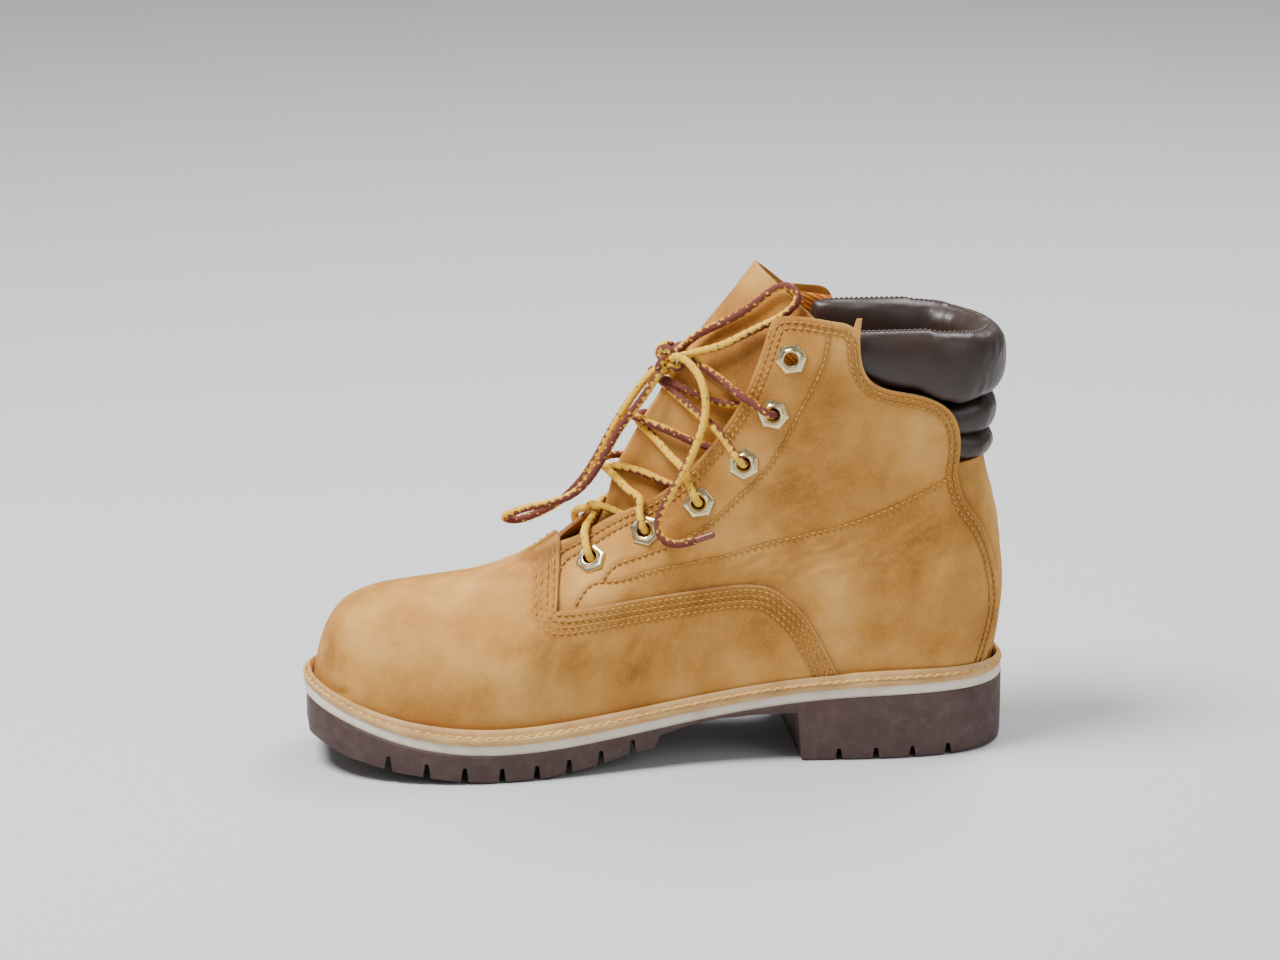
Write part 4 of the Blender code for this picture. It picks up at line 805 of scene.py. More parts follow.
def make_materials():
    nubuck_finish = nubuck("wheat_nubuck", (0.73, 0.410, 0.120), (0.54, 0.252, 0.053), (0.31, 0.120, 0.022))
    edge = Finish("raw_edge", (0.42, 0.23, 0.09), 0.95)
    edge.colour_from(edge.ramp(edge.noise(700, 3), [(0.3, (0.30, 0.14, 0.04)), (0.7, (0.50, 0.29, 0.12))]))
    edge.add_bump(edge.noise(3000, 2), 0.5, 0.0002)

    collar = Finish("brown_collar_leather", (0.030, 0.016, 0.013), 0.38)
    tone = collar.ramp(collar.noise(30, 4), [(0.3, (0.021, 0.011, 0.009)), (0.7, (0.040, 0.022, 0.017))])
    collar.colour_from(tone)
    collar.roughness_from(collar.grey(collar.noise(140, 3), 0.34, 0.46))
    collar.add_bump(collar.cells(1500), 0.18, 0.00025)
    collar.add_bump(collar.noise(240, 4), 0.16, 0.0004)

    twill = Finish("orange_twill", (0.70, 0.24, 0.03), 0.9)
    ribs = twill.ribs(210, (0.3, 0.7, 0.9))
    twill.colour_from(twill.ramp(ribs, [(0.2, (0.42, 0.11, 0.012)), (0.8, (0.78, 0.28, 0.04))]))
    twill.add_bump(ribs, 0.6, 0.0004)
    twill.sheen(0.2, 0.5, (0.9, 0.5, 0.2))

    rubber = Finish("brown_sole_rubber", (0.105, 0.055, 0.048), 0.62)
    tone = rubber.ramp(rubber.noise(40, 5), [(0.3, (0.055, 0.028, 0.023)), (0.72, (0.084, 0.045, 0.038))])
    dust = rubber.grey(rubber.noise(160, 6, roughness=0.7), 0.0, 0.25, 0.5, 0.8)
    rubber.colour_from(rubber.mix(dust, tone, (0.20, 0.14, 0.12)))
    rubber.roughness_from(rubber.grey(rubber.noise(220, 3), 0.52, 0.74))
    rubber.add_bump(rubber.noise(1800, 3), 0.25, 0.00015)

    midsole = Finish("ivory_midsole", (0.82, 0.74, 0.62), 0.6)
    stains = [(0.25, (0.62, 0.52, 0.38)), (0.5, (0.80, 0.72, 0.60)), (0.8, (0.88, 0.82, 0.72))]
    tone = midsole.ramp(midsole.noise(60, 6), stains)
    grime = midsole.grey(midsole.noise(18, 5), 0.0, 0.4, 0.55, 0.75)
    midsole.colour_from(midsole.mix(grime, tone, (0.55, 0.45, 0.33)))
    midsole.add_bump(midsole.noise(900, 3), 0.2, 0.0002)

    welt = Finish("tan_welt", (0.62, 0.37, 0.15), 0.7)
    welt.colour_from(welt.ramp(welt.noise(90, 5), [(0.25, (0.50, 0.27, 0.09)), (0.75, (0.72, 0.46, 0.20))]))
    welt.add_bump(welt.noise(1200, 3), 0.3, 0.0002)

    thread = Finish("gold_thread", (0.62, 0.33, 0.07), 0.7)
    golds = [(0.3, (0.42, 0.19, 0.03)), (0.7, (0.62, 0.33, 0.07))]
    thread.colour_from(thread.ramp(thread.noise(260, 2), golds))
    thread.add_bump(thread.ribs(1300, (0.4, 0.2, 0.7)), 0.4, 0.0002)
    welt_thread = Finish("yellow_thread", (0.78, 0.50, 0.12), 0.7)
    yellows = [(0.3, (0.66, 0.38, 0.08)), (0.7, (0.85, 0.58, 0.17))]
    welt_thread.colour_from(welt_thread.ramp(welt_thread.noise(260, 2), yellows))

    metal = Finish("pale_brass", (0.80, 0.71, 0.46), 0.24, 1.0)
    metal.colour_from(metal.ramp(metal.noise(300, 4), [(0.3, (0.66, 0.54, 0.28)), (0.7, (0.82, 0.72, 0.46))]))
    metal.roughness_from(metal.grey(metal.noise(500, 4), 0.18, 0.36))

    lace = Finish("two_tone_lace", (0.80, 0.50, 0.09), 0.8)
    yellow = lace.ramp(lace.noise(1500, 2), [(0.3, (0.78, 0.42, 0.02)), (0.7, (0.94, 0.58, 0.05))])
    maroon = lace.ramp(lace.noise(1500, 2), [(0.3, (0.11, 0.020, 0.013)), (0.7, (0.19, 0.042, 0.026))])
    lace.colour_from(lace.mix(lace.attribute("maroon"), yellow, maroon))
    lace.add_bump(lace.noise(3500, 2), 0.35, 0.00015)
    lace.sheen(0.06, 0.4, (0.9, 0.7, 0.4))
    seam = Finish("brown_thread", (0.15, 0.10, 0.085), 0.6)
    seam.colour_from(seam.ramp(seam.noise(600, 2), [(0.3, (0.11, 0.07, 0.06)), (0.7, (0.19, 0.13, 0.11))]))

    aglet = Finish("aglet_wrap", (0.22, 0.06, 0.04), 0.3)
    wraps = [(0.3, (0.16, 0.045, 0.03)), (0.7, (0.27, 0.08, 0.05))]
    aglet.colour_from(aglet.ramp(aglet.noise(500, 3), wraps))

    steel = Finish("pressed_steel", (0.45, 0.45, 0.46), 0.35, 1.0)
    steel.roughness_from(steel.grey(steel.noise(200, 4), 0.3, 0.5))
    board = Finish("fibreboard", (0.35, 0.26, 0.17), 0.9)
    board.colour_from(board.ramp(board.noise(500, 5), [(0.3, (0.26, 0.18, 0.11)), (0.7, (0.42, 0.33, 0.23))]))
    cork = Finish("cork", (0.42, 0.27, 0.15), 0.95)
    cork.colour_from(cork.ramp(cork.cells(350), [(0.1, (0.30, 0.18, 0.09)), (0.6, (0.48, 0.32, 0.19))]))
    foam = Finish("footbed_cloth", (0.10, 0.09, 0.09), 0.9)
    foam.colour_from(foam.ramp(foam.ribs(300), [(0.2, (0.06, 0.055, 0.055)), (0.8, (0.13, 0.12, 0.12))]))
    gasket = Finish("gasket_plastic", (0.05, 0.05, 0.05), 0.5)
    gasket.roughness_from(gasket.grey(gasket.noise(200, 3), 0.45, 0.6))
    return {
        "nubuck": nubuck_finish.material, "edge": edge.material, "collar_leather": collar.material,
        "twill": twill.material, "sole_rubber": rubber.material, "midsole_rubber": midsole.material,
        "welt_leather": welt.material, "thread": thread.material, "welt_thread": welt_thread.material,
        "eyelet_metal": metal.material, "lace_yarn": lace.material, "aglet_plastic": aglet.material,
        "brown_thread": seam.material,
        "steel": steel.material, "fibreboard": board.material, "cork": cork.material,
        "footbed_foam": foam.material, "gasket_plastic": gasket.material,
    }


# ---------------------------------------------------------------- mesh helpers
def link(name, mesh, finishes, body="boot", smooth_angle=40):
    """An object from a mesh in metres, riding on a body."""
    for finish in finishes:
        mesh.materials.append(MATERIALS[finish])
    mesh.shade_smooth()
    mesh.set_sharp_from_angle(angle=math.radians(smooth_angle))
    obj = bpy.data.objects.new(name, mesh)
    bpy.context.scene.collection.objects.link(obj)
    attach(obj, body)
    return obj


def grid_faces(rows, columns, start, closed=False, flipped=False, skip=None):
    """Corner numbers of the quads of a grid whose points are numbered from start."""
    i, j = np.meshgrid(np.arange(rows - 1), np.arange(columns if closed else columns - 1), indexing="ij")
    ahead = (j + 1) % columns
    low = i * columns
    high = low + columns
    faces = np.stack([low + j, low + ahead, high + ahead, high + j], axis=-1).reshape(-1, 4)
    if skip is not None:
        faces = faces[~skip.reshape(-1)]
    return (faces[:, ::-1] if flipped else faces) + start


def mesh_from(name, grids, weld=0.02):
    """A mesh in metres from grids, each (points, closed, flipped, skip), welded where they meet."""
    points = []
    faces = []
    start = 0
    for grid, closed, flipped, skip in grids:
        faces.append(grid_faces(grid.shape[0], grid.shape[1], start, closed, flipped, skip))
        points.append(grid.reshape(-1, 3))
        start += points[-1].shape[0]
    mesh = bpy.data.meshes.new(name)
    mesh.from_pydata(np.vstack(points) * MM, [], np.vstack(faces).tolist())
    bm = bmesh.new()
    bm.from_mesh(mesh)
    bmesh.ops.remove_doubles(bm, verts=bm.verts, dist=weld * MM)
    loose = [v for v in bm.verts if not v.link_faces]
    bmesh.ops.delete(bm, geom=loose, context="VERTS")
    bm.to_mesh(mesh)
    bm.free()
    return mesh


def coordinates(mesh):
    values = np.zeros(len(mesh.vertices) * 3)
    mesh.vertices.foreach_get("co", values)
    return values.reshape(-1, 3)


def normals_of(mesh):
    values = np.zeros(len(mesh.vertices) * 3, np.float32)
    mesh.vertex_normals.foreach_get("vector", values)
    return values.reshape(-1, 3).astype(float)


def set_attribute(mesh, name, values):
    layer = mesh.attributes.get(name) or mesh.attributes.new(name, "FLOAT", "POINT")
    layer.data.foreach_set("value", np.asarray(values, np.float32))


def undulation(points, size, seed):
    """Smooth noise from -1 to 1 over points in millimetres, with features of a size."""
    shift = Vector((seed * 7.31, seed * 3.17, seed * 5.53))
    return np.array([noise.noise(Vector(p) / size + shift) for p in points])


def emboss(mesh, amount):
    """Moves each point along its normal by amount(points in millimetres), in millimetres."""
    at = coordinates(mesh)
    moved = at + normals_of(mesh) * (amount(at / MM) * MM)[:, None]
    mesh.vertices.foreach_set("co", moved.reshape(-1))
    mesh.update()


def thicken(obj, thickness, bevel=0.3):
    """Gives a surface thickness inwards, its cut edges in the second material and rounded."""
    solid = obj.modifiers.new("thickness", "SOLIDIFY")
    solid.thickness = thickness * MM
    solid.offset = -1
    solid.material_offset_rim = 1
    if bevel:
        rounding = obj.modifiers.new("rounding", "BEVEL")
        rounding.width = bevel * MM
        rounding.segments = 2
        rounding.limit_method = "ANGLE"
        rounding.angle_limit = math.radians(50)


def fine_shell(name, grids, depth):
    """Mesh of a layer from side-view grids, each (points, names of its centre-line edges)."""
    placed_grids = []
    for side in (MEDIAL, LATERAL):
        for points, edges in grids:
            placed = place(points, side, depth)
            for edge in edges:
                rows_columns = EDGE_INDEX[edge]
                placed[rows_columns][..., 1] = centre(points[rows_columns][..., 0])
            placed_grids.append((placed, False, side == LATERAL, None))
    return mesh_from(name, placed_grids)


EDGE_INDEX = {
    "top": (slice(-1, None), slice(None)),
    "left": (slice(None), slice(0, 1)),
    "right": (slice(None), slice(-1, None)),
}


# ---------------------------------------------------------------- stitches
STITCH_SIDES = 6
STITCH_RINGS = 7


def stitch_mesh(name, runs, length, radius):
    """Mesh of separate stitches along runs, each (points, normals), one stitch between each two points."""
    blocks = []
    for points, normals in runs:
        start = points[:-1]
        end = points[1:]
        normal = normals[:-1] + normals[1:]
        normal /= np.linalg.norm(normal, axis=1, keepdims=True)
        middle = (start + end) / 2
        reach = (end - start) * (length / 2)
        side = np.cross(reach, normal)
        side /= np.maximum(np.linalg.norm(side, axis=1, keepdims=True), 1e-9)
        rings = []
        for t in np.linspace(-1, 1, STITCH_RINGS):
            thick = radius * (1 - 0.55 * abs(t) ** 3)
            lift = radius * (0.75 - 1.7 * abs(t) ** 3)
            ring = []
            for k in range(STITCH_SIDES):
                angle = 2 * math.pi * k / STITCH_SIDES
                out = normal * (lift + thick * math.sin(angle)) + side * (thick * 1.15 * math.cos(angle))
                ring.append(middle + reach * t + out)
            rings.append(np.stack(ring, axis=1))
        blocks.append(np.stack(rings, axis=1))
    stitches = np.concatenate(blocks)
    per = STITCH_RINGS * STITCH_SIDES
    one = grid_faces(STITCH_RINGS, STITCH_SIDES, 0, closed=True)
    starts = np.arange(len(stitches))[:, None, None] * per
    faces = (one[None] + starts).reshape(-1, 4)
    mesh = bpy.data.meshes.new(name)
    mesh.from_pydata(stitches.reshape(-1, 3) * MM, [], faces.tolist())
    return mesh


def run_on(line, side, depth, spacing, lift=0.0):
    """Stitch points and normals along a side-view line on one side of a layer."""
    points = resample(line, spacing)
    normals = normals_at(points, side, depth)
    return place(points, side, depth) + normals * lift, normals


# ---------------------------------------------------------------- laces: the first soft pieces
LACE_LOOK_RADIUS = 1.75
LACE_SECTION = 14
LACE_STEP = 0.55
BRAID_PITCH = 3.6
TWIST_LENGTH = 170.0
KNOT_SPREAD = 1.95
KNOT_HEIGHT = 2.2
KNOT_LEAN = math.radians(38)
LACE_TURNS = {
    "lace_loop_front": 2.4, "lace_loop_rear": 0.6, "lace_end_medial": 4.0, "lace_end_lateral": 1.0,
}


def carried_frames(points):
    """Tangent and two square directions at each point, carried along without twisting."""
    tangents = np.gradient(points, axis=0)
    tangents /= np.linalg.norm(tangents, axis=1, keepdims=True)
    first = np.cross(tangents[0], [0.3, 0.2, 0.93])
    first /= np.linalg.norm(first)
    normals = [first]
    for tangent in tangents[1:]:
        normal = normals[-1] - tangent * np.dot(normals[-1], tangent)
        normals.append(normal / np.linalg.norm(normal))
    normals = np.array(normals)
    return tangents, normals, np.cross(tangents, normals)


def add_lace(name, route, node, turn):
    """A round braided lace whose one half is yellow and the other maroon. Returns it and its line."""
    line = resample(route, LACE_STEP)
    _, first, second = carried_frames(line)
    run = np.arange(len(line)) * LACE_STEP
    angle = np.arange(LACE_SECTION) * 2 * math.pi / LACE_SECTION
    angles = angle[None, :] + 0 * run[:, None]
    phase = 2 * math.pi * run[:, None] / BRAID_PITCH
    braid = np.maximum(np.cos(4 * angles + phase), np.cos(4 * angles - phase))
    radius = LACE_LOOK_RADIUS * (0.955 + 0.065 * braid)
    ring = first[:, None] * np.cos(angles)[..., None] + second[:, None] * np.sin(angles)[..., None]
    points = line[:, None] + ring * radius[..., None]
    mesh = mesh_from(name, [(points, True, False, None)], weld=0.0001)
    spin = turn + run[:, None] * 2 * math.pi / TWIST_LENGTH
    zigzag = 0.45 * (2 * np.abs((run[:, None] / BRAID_PITCH) % 1 - 0.5) * 2 - 1)
    half = np.sin(angles + spin) + zigzag
    dots = np.cos(3 * (angles + spin)) * np.cos(phase / 2) > 0.91
    maroon = np.where(dots, half < 0.12, half > 0.12).astype(float)
    set_attribute(mesh, "maroon", maroon.reshape(-1))
    obj = link(name, mesh, ["lace_yarn"], smooth_angle=80)
    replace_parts(obj, node)
    return obj, line


def resting_on(name, points, clearance):
    """The points, those too near a solid moved straight off it to the clearance."""
    tree = BVHTree.FromObject(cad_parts[name], bpy.context.evaluated_depsgraph_get())
    rested = []
    for point in points:
        at, normal, _, _ = tree.find_nearest(Vector(point * MM))
        foot = np.array(at) / MM
        height = np.dot(point - foot, normal)
        gap = np.linalg.norm(point - foot)
        too_near = height < clearance and gap < clearance + TONGUE_THICKNESS
        rested.append(foot + np.array(normal) * clearance if too_near else point)
    return rested


def add_laces():
    knot = [np.array(KNOT_CENTRE)]
    rested = resting_on("tongue", threaded_route(), LACE_LIFT)
    add_lace("laces_threaded", dense(knot + rested + knot, 1600), "lace_threaded", 0.4)
    for name, route in LACE_ROUTES.items():
        is_end = "end" in name
        ends = route[:1] if is_end else [route[0], route[-1]]
        tucked = [tuple(np.array(KNOT_CENTRE) * 0.6 + np.array(end) * 0.4) for end in ends]
        line = dense(tucked[:1] + route + tucked[1:], 400)
        obj, line = add_lace(name + "_braid", line, name, LACE_TURNS[name])
        pieces = [add_aglet(name, line)] if is_end else []
    add_knot()


def add_aglet(name, line):
    """Wrapped tip of a lace end."""
    along_tip = line[-1] - line[-4]
    along_tip /= np.linalg.norm(along_tip)
    node = name.replace("lace_end", "aglet")
    steps = np.linspace(0, AGLET_LENGTH + GAP, 24)
    points = line[-1] + along_tip * steps[:, None]
    _, first, second = carried_frames(points)
    angles = np.arange(16) * math.pi / 8
    edge_distance = np.minimum(steps, steps[-1] - steps)
    radius = AGLET_RADIUS * np.sqrt(np.clip(edge_distance / 0.7, 0.02, 1))
    ring = first[:, None] * np.cos(angles)[:, None] + second[:, None] * np.sin(angles)[:, None]
    mesh = mesh_from(node + "_tip", [(points[:, None] + ring * radius[:, None, None], True, False, None)])
    aglet = link(node + "_tip", mesh, ["aglet_plastic"])
    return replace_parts(aglet, node)


def add_knot():
    """The bow's knot: one lace wound three times through itself."""
    t = np.linspace(0, 2 * math.pi, 300)
    across = np.sin(t) + 2 * np.sin(2 * t)
    up = np.cos(t) - 2 * np.cos(2 * t)
    out = -np.sin(3 * t)
    knot = np.stack([across * KNOT_SPREAD, out * KNOT_HEIGHT, up * KNOT_SPREAD], axis=-1)
    cosine = math.cos(KNOT_LEAN)
    sine = math.sin(KNOT_LEAN)
    turned = knot @ np.array([[cosine, 0, -sine], [0, 1, 0], [sine, 0, cosine]])
    add_lace("bow_knot", np.array(KNOT_CENTRE) + turned, "lace_knot", 0.0)


# ---------------------------------------------------------------- sole
MIDSOLE_INSET = 0.75
MIDSOLE_ROUNDING = 0.35


def add_midsole():
    """Ivory layer between the outsole and the welt, a closed body with rounded sides."""
    xs = stations(TOE_X + MIDSOLE_INSET, HEEL_X - MIDSOLE_INSET, 180)
    low, high = sole_edges(xs)
    centre_y = (low + high) / 2
    reach = np.maximum((high - low) / 2 - MIDSOLE_INSET, 0.05)
    bottoms = outsole_top(xs) + 0.05
    tops = outsole_top(xs) + MIDSOLE_LIFT + MIDSOLE_THICKNESS + 0.15
    rings = []
    for t in np.linspace(0, 1, 7):
        round_in = MIDSOLE_ROUNDING * (2 * t - 1) ** 4
        rings.append((np.maximum(reach - round_in, 0.02), bottoms * (1 - t) + tops * t))
    section = []
    for side in (MEDIAL, LATERAL):
        for half, z in rings if side == LATERAL else rings[::-1]:
            section.append(np.stack([xs, centre_y + side * half, z], axis=-1))
    mesh = closed_loft("ivory_layer", np.stack(section, axis=1))
    obj = link("ivory_layer", mesh, ["midsole_rubber"])
    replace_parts(obj, "midsole")


def closed_loft(name, points):
    """A mesh from rings of points (rings, points in each, 3) with its two end rings filled."""
    mesh = mesh_from(name, [(points, True, False, None)], weld=0.0001)
    bm = bmesh.new()
    bm.from_mesh(mesh)
    bmesh.ops.holes_fill(bm, edges=[e for e in bm.edges if e.is_boundary])
    bmesh.ops.recalc_face_normals(bm, faces=bm.faces)
    bm.to_mesh(mesh)
    bm.free()
    return mesh


def add_outsole():
    """Lugged outsole: a rounded block with the tread's grooves cut across it."""
    spaced = stations(TOE_X + 0.3, HEEL_X - 0.3, 200)
    tread_x = np.array([x for x, z in TREAD])
    keep = [x for x in spaced if min(abs(x - t) for t in tread_x) > 0.8]
    xs = np.array(sorted(keep + list(tread_x[1:])))
    bottoms = np.interp(xs, tread_x, [z for x, z in TREAD])
    bottoms = np.where(xs > HEEL_TREAD_END, xs - HEEL_TREAD_END, bottoms)
    low, high = sole_edges(xs)
    tops = outsole_top(xs)
    middle = (low + high) / 2
    reach = (high - low) / 2
    section = []
    for side in (MEDIAL, LATERAL):
        levels = [(1.6, 0.0), (0.9, 0.05), (0.25, 0.35), (0.0, 0.65), (0.0, 0.96), (0.35, 1.0)]
        for inset, t in levels if side == LATERAL else levels[::-1]:
            half = np.maximum(reach - inset, 0.02)
            section.append(np.stack([xs, middle + side * half, bottoms * (1 - t) + tops * t], axis=-1))
    mesh = closed_loft("lugged_sole", np.stack(section, axis=1))
    obj = link("lugged_sole", mesh, ["sole_rubber"], smooth_angle=30)
    cutter = add_groove_cutter()
    boolean = obj.modifiers.new("grooves", "BOOLEAN")
    boolean.operation = "DIFFERENCE"
    boolean.solver = "EXACT"
    boolean.object = cutter
    apply_modifiers(obj)
    bpy.data.objects.remove(cutter)
    rounding = obj.modifiers.new("rounding", "BEVEL")
    rounding.width = 0.5 * MM
    rounding.segments = 2
    rounding.limit_method = "ANGLE"
    rounding.angle_limit = math.radians(45)
    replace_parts(obj, "outsole")


def apply_modifiers(obj):
    depsgraph = bpy.context.evaluated_depsgraph_get()
    mesh = bpy.data.meshes.new_from_object(obj.evaluated_get(depsgraph))
    obj.modifiers.clear()
    obj.data = mesh


def add_groove_cutter():
    """Tapered bars across the forefoot and heel."""
    bars = [(x, tread_height(x), FOREFOOT_GROOVE_DEPTH) for x in FOREFOOT_GROOVES]
    bars += [(x, 0.0, HEEL_GROOVE_DEPTH) for x in HEEL_GROOVES]
    bm = bmesh.new()
    half = GROOVE_WIDTH / 2
    for x, floor, depth in bars:
        wedge = [
            (x - half, floor - 4), (x + half, floor - 4), (x + half, floor),
            (x + half * 0.45, floor + depth), (x - half * 0.45, floor + depth), (x - half, floor),
        ]
        ends = [[bm.verts.new(Vector((a, y, z)) * MM) for a, z in wedge] for y in (-70, 70)]
        bm.faces.new(ends[0])
        bm.faces.new(ends[1][::-1])
        for k in range(len(wedge)):
            ahead = (k + 1) % len(wedge)
            bm.faces.new((ends[0][ahead], ends[0][k], ends[1][k], ends[1][ahead]))
    bmesh.ops.recalc_face_normals(bm, faces=bm.faces)
    mesh = bpy.data.meshes.new("groove_cutter")
    bm.to_mesh(mesh)
    bm.free()
    cutter = bpy.data.objects.new("groove_cutter", mesh)
    bpy.context.scene.collection.objects.link(cutter)
    return cutter


def add_welt():
    """Welt strip with a raised bead against the upper and one row of thick stitches."""
    count = 520
    inner = feather_outline(count)
    inner = inner + outward(inner) * (WELT_CLEARANCE - 0.5)
    loop = np.vstack([LATERAL_EDGE, MEDIAL_EDGE[::-1]])
    outer = along(loop, np.arange(count) / count)
    across = outer - inner
    width = np.linalg.norm(across, axis=1)
    across = across / width[:, None]
    bead = np.minimum(BEAD_WIDTH, width * 0.6)
    lift = MIDSOLE_LIFT + MIDSOLE_THICKNESS + 0.1
    floor = outsole_top(outer[:, 0]) + lift
    floor_in = outsole_top(inner[:, 0]) + lift
    ledge = floor_in + WELT_THICKNESS + 0.1
    outer_ledge = floor + WELT_THICKNESS + 0.1
    profile = [
        (0.0 * width, floor_in), (width - 0.5, floor), (width - 0.15, floor + 0.5),
        (width, (floor + outer_ledge) / 2), (width - 0.15, outer_ledge - 0.5), (width - 0.6, outer_ledge),
        (bead + 1.6, ledge * 0.6 + outer_ledge * 0.4),
        (bead + 0.5, ledge - 0.25), (bead + 0.1, ledge), (bead - 0.1, ledge + BEAD_HEIGHT * 0.45),
        (bead * 0.8, ledge + BEAD_HEIGHT * 0.85), (bead * 0.5, ledge + BEAD_HEIGHT),
        (bead * 0.15, ledge + BEAD_HEIGHT * 0.8),
    ]
    section = []
    for reach, z in profile:
        spot = inner + across * reach[:, None]
        section.append(np.column_stack([spot, z]))
    points = np.stack(section, axis=1)
    points = np.concatenate([points, points[:1]])
    mesh = mesh_from("welt_strip", [(points, True, True, None)], weld=0.001)
    obj = link("welt_strip", mesh, ["welt_leather"], smooth_angle=60)
    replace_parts(obj, "welt")
    reach = (bead + width) / 2
    spot = inner + across * reach[:, None]
    height = (ledge + outer_ledge) / 2
    row = np.column_stack([spot, height])
    line = resample(np.vstack([row, row[:1]]), WELT_STITCH_SPACING)
    up = np.tile([0.0, 0.0, 1.0], (len(line), 1))
    mesh = stitch_mesh("welt_stitches", [(line, up)], 0.84, 0.55)
    link("welt_stitches", mesh, ["welt_thread"], smooth_angle=80)


# ---------------------------------------------------------------- seam lines in side view
ANKLE_STITCH = [
    (122.4, 122.6), (100, 111.6), (78, 103.8), (56, 98.7), (39.3, 94.7), (22.7, 90), (6.1, 87.3),
    (-10.4, 83.7),
    (-20.9, 81.1), (-30.1, 79.7), (-34.2, 76.4), (-37.7, 71.4),
]
EYESTAY_STITCH = [
    (69.9, 187.1), (67.7, 175.7), (63.1, 164.6), (56.6, 151.1), (50, 137.6), (42.3, 126.5), (32.3, 116.5),
    (17.9, 103.3), (4.6, 96.6), (-12, 90.3), (-21.9, 85.6), (-25.3, 81.3),
]


def inset_line(line, distance):
    """A line moved to its right, without the parts that fold over at corners."""
    fine = resample(line, 0.5)
    tangent = np.gradient(fine, axis=0)
    kernel = np.ones(7) / 7
    padded = [np.pad(tangent[:, k], 3, "edge") for k in (0, 1)]
    tangent = np.column_stack([np.convolve(column, kernel, "valid") for column in padded])
    tangent /= np.linalg.norm(tangent, axis=1, keepdims=True)
    moved = fine + np.column_stack([tangent[:, 1], -tangent[:, 0]]) * distance
    clear = distance_to(moved, fine) > distance * 0.96
    return moved[clear]


def wing_end():
    return (WING_END_X, float(outsole_top(WING_END_X)) + UPPER_LIFT + 4)


THROAT = ridge(level(VAMP_DEPTH), -60, THROAT_TOP_X, np.array([1.0]))[0]
VAMP_EDGE = np.vstack([resample([tuple(THROAT), WING_EDGE[0]], 1.0)[:-1], dense(WING_EDGE + [wing_end()])])
QUARTER_EDGE = np.vstack([
    dense(FACING_EDGE), dense(QUARTER_TOP)[1:], dense(COLLAR_BORDER)[1:],
    dense(BACKSTAY_SEAM + [(BACKSTAY_FOOT_X, 38)])[1:],
])
VAMP_ROWS = [1.7, 4.1, 6.5, 8.9]
QUARTER_ROWS = [2.3, 4.7]
STITCH_SPACING = 2.9
STITCH_SHARE = 0.80
STITCH_RADIUS = 0.40
WELT_STITCH_SPACING = 4.4
VAMP_THICKNESS = 1.6
QUARTER_THICKNESS = 1.5
BACKSTAY_THICKNESS = 1.5
EYELET_OPENING = 3.9
TAIL_FOOT = (81.2, 186.5)
TAIL_HEIGHT = 8.5
TAIL_WIDTH = 4.2
TAIL_LEAN = 1.6


def groove(points, lines, depth, width):
    """How far stitching draws the leather in near lines, in millimetres."""
    pull = np.zeros(len(points))
    for line in lines:
        pull = np.maximum(pull, np.exp(-((distance_to(points[:, [0, 2]], line) / width) ** 2)))
    return -depth * pull


CREASE_STRETCH = 3.2


def creases(points, along_x, along_z, size, seed):
    """Ridged noise stretched along a direction in side view: the fine folds of worn leather."""
    run = points[:, 0] * along_x + points[:, 2] * along_z
    cross = points[:, 0] * -along_z + points[:, 2] * along_x
    spread = np.column_stack([run / CREASE_STRETCH, cross, points[:, 1] * 0.6])
    value = undulation(spread, size, seed)
    return 1 - np.abs(value) * 2.4


def around(points, x, z, reach_x, reach_z):
    """Weight from 1 at a side-view point down to 0 away from it."""
    return np.exp(-(((points[:, 0] - x) / reach_x) ** 2) - ((points[:, 2] - z) / reach_z) ** 2)


def shade_points(mesh, lines, width):
    """Darkens the leather with painted shade along lines (stitch grooves, seams, the tongue's edges under the
    facings), darker towards the bottom, and stores scuffs, for the material.
    """
    at = coordinates(mesh) / MM
    dark = np.zeros(len(at))
    # painted shade: darkest on each line, where the stitching or seam sinks the leather
    for line in lines:
        dark = np.maximum(dark, np.exp(-((distance_to(at[:, [0, 2]], line) / width) ** 2)))
    # darker towards the bottom of the upper
    low = np.clip(1 - (at[:, 2] - 24) / 14, 0, 1) * 0.25
    set_attribute(mesh, "shade", np.clip(dark * 0.55 + low, 0, 1))
    toe = np.clip((-118 - at[:, 0]) / 40, 0, 1) * np.clip((70 - at[:, 2]) / 30, 0, 1)
    spots = np.clip(undulation(at, 9, 5) * 2 - 0.3, 0, 1)
    set_attribute(mesh, "scuff", np.clip(toe * spots * 0.9, 0, 1))


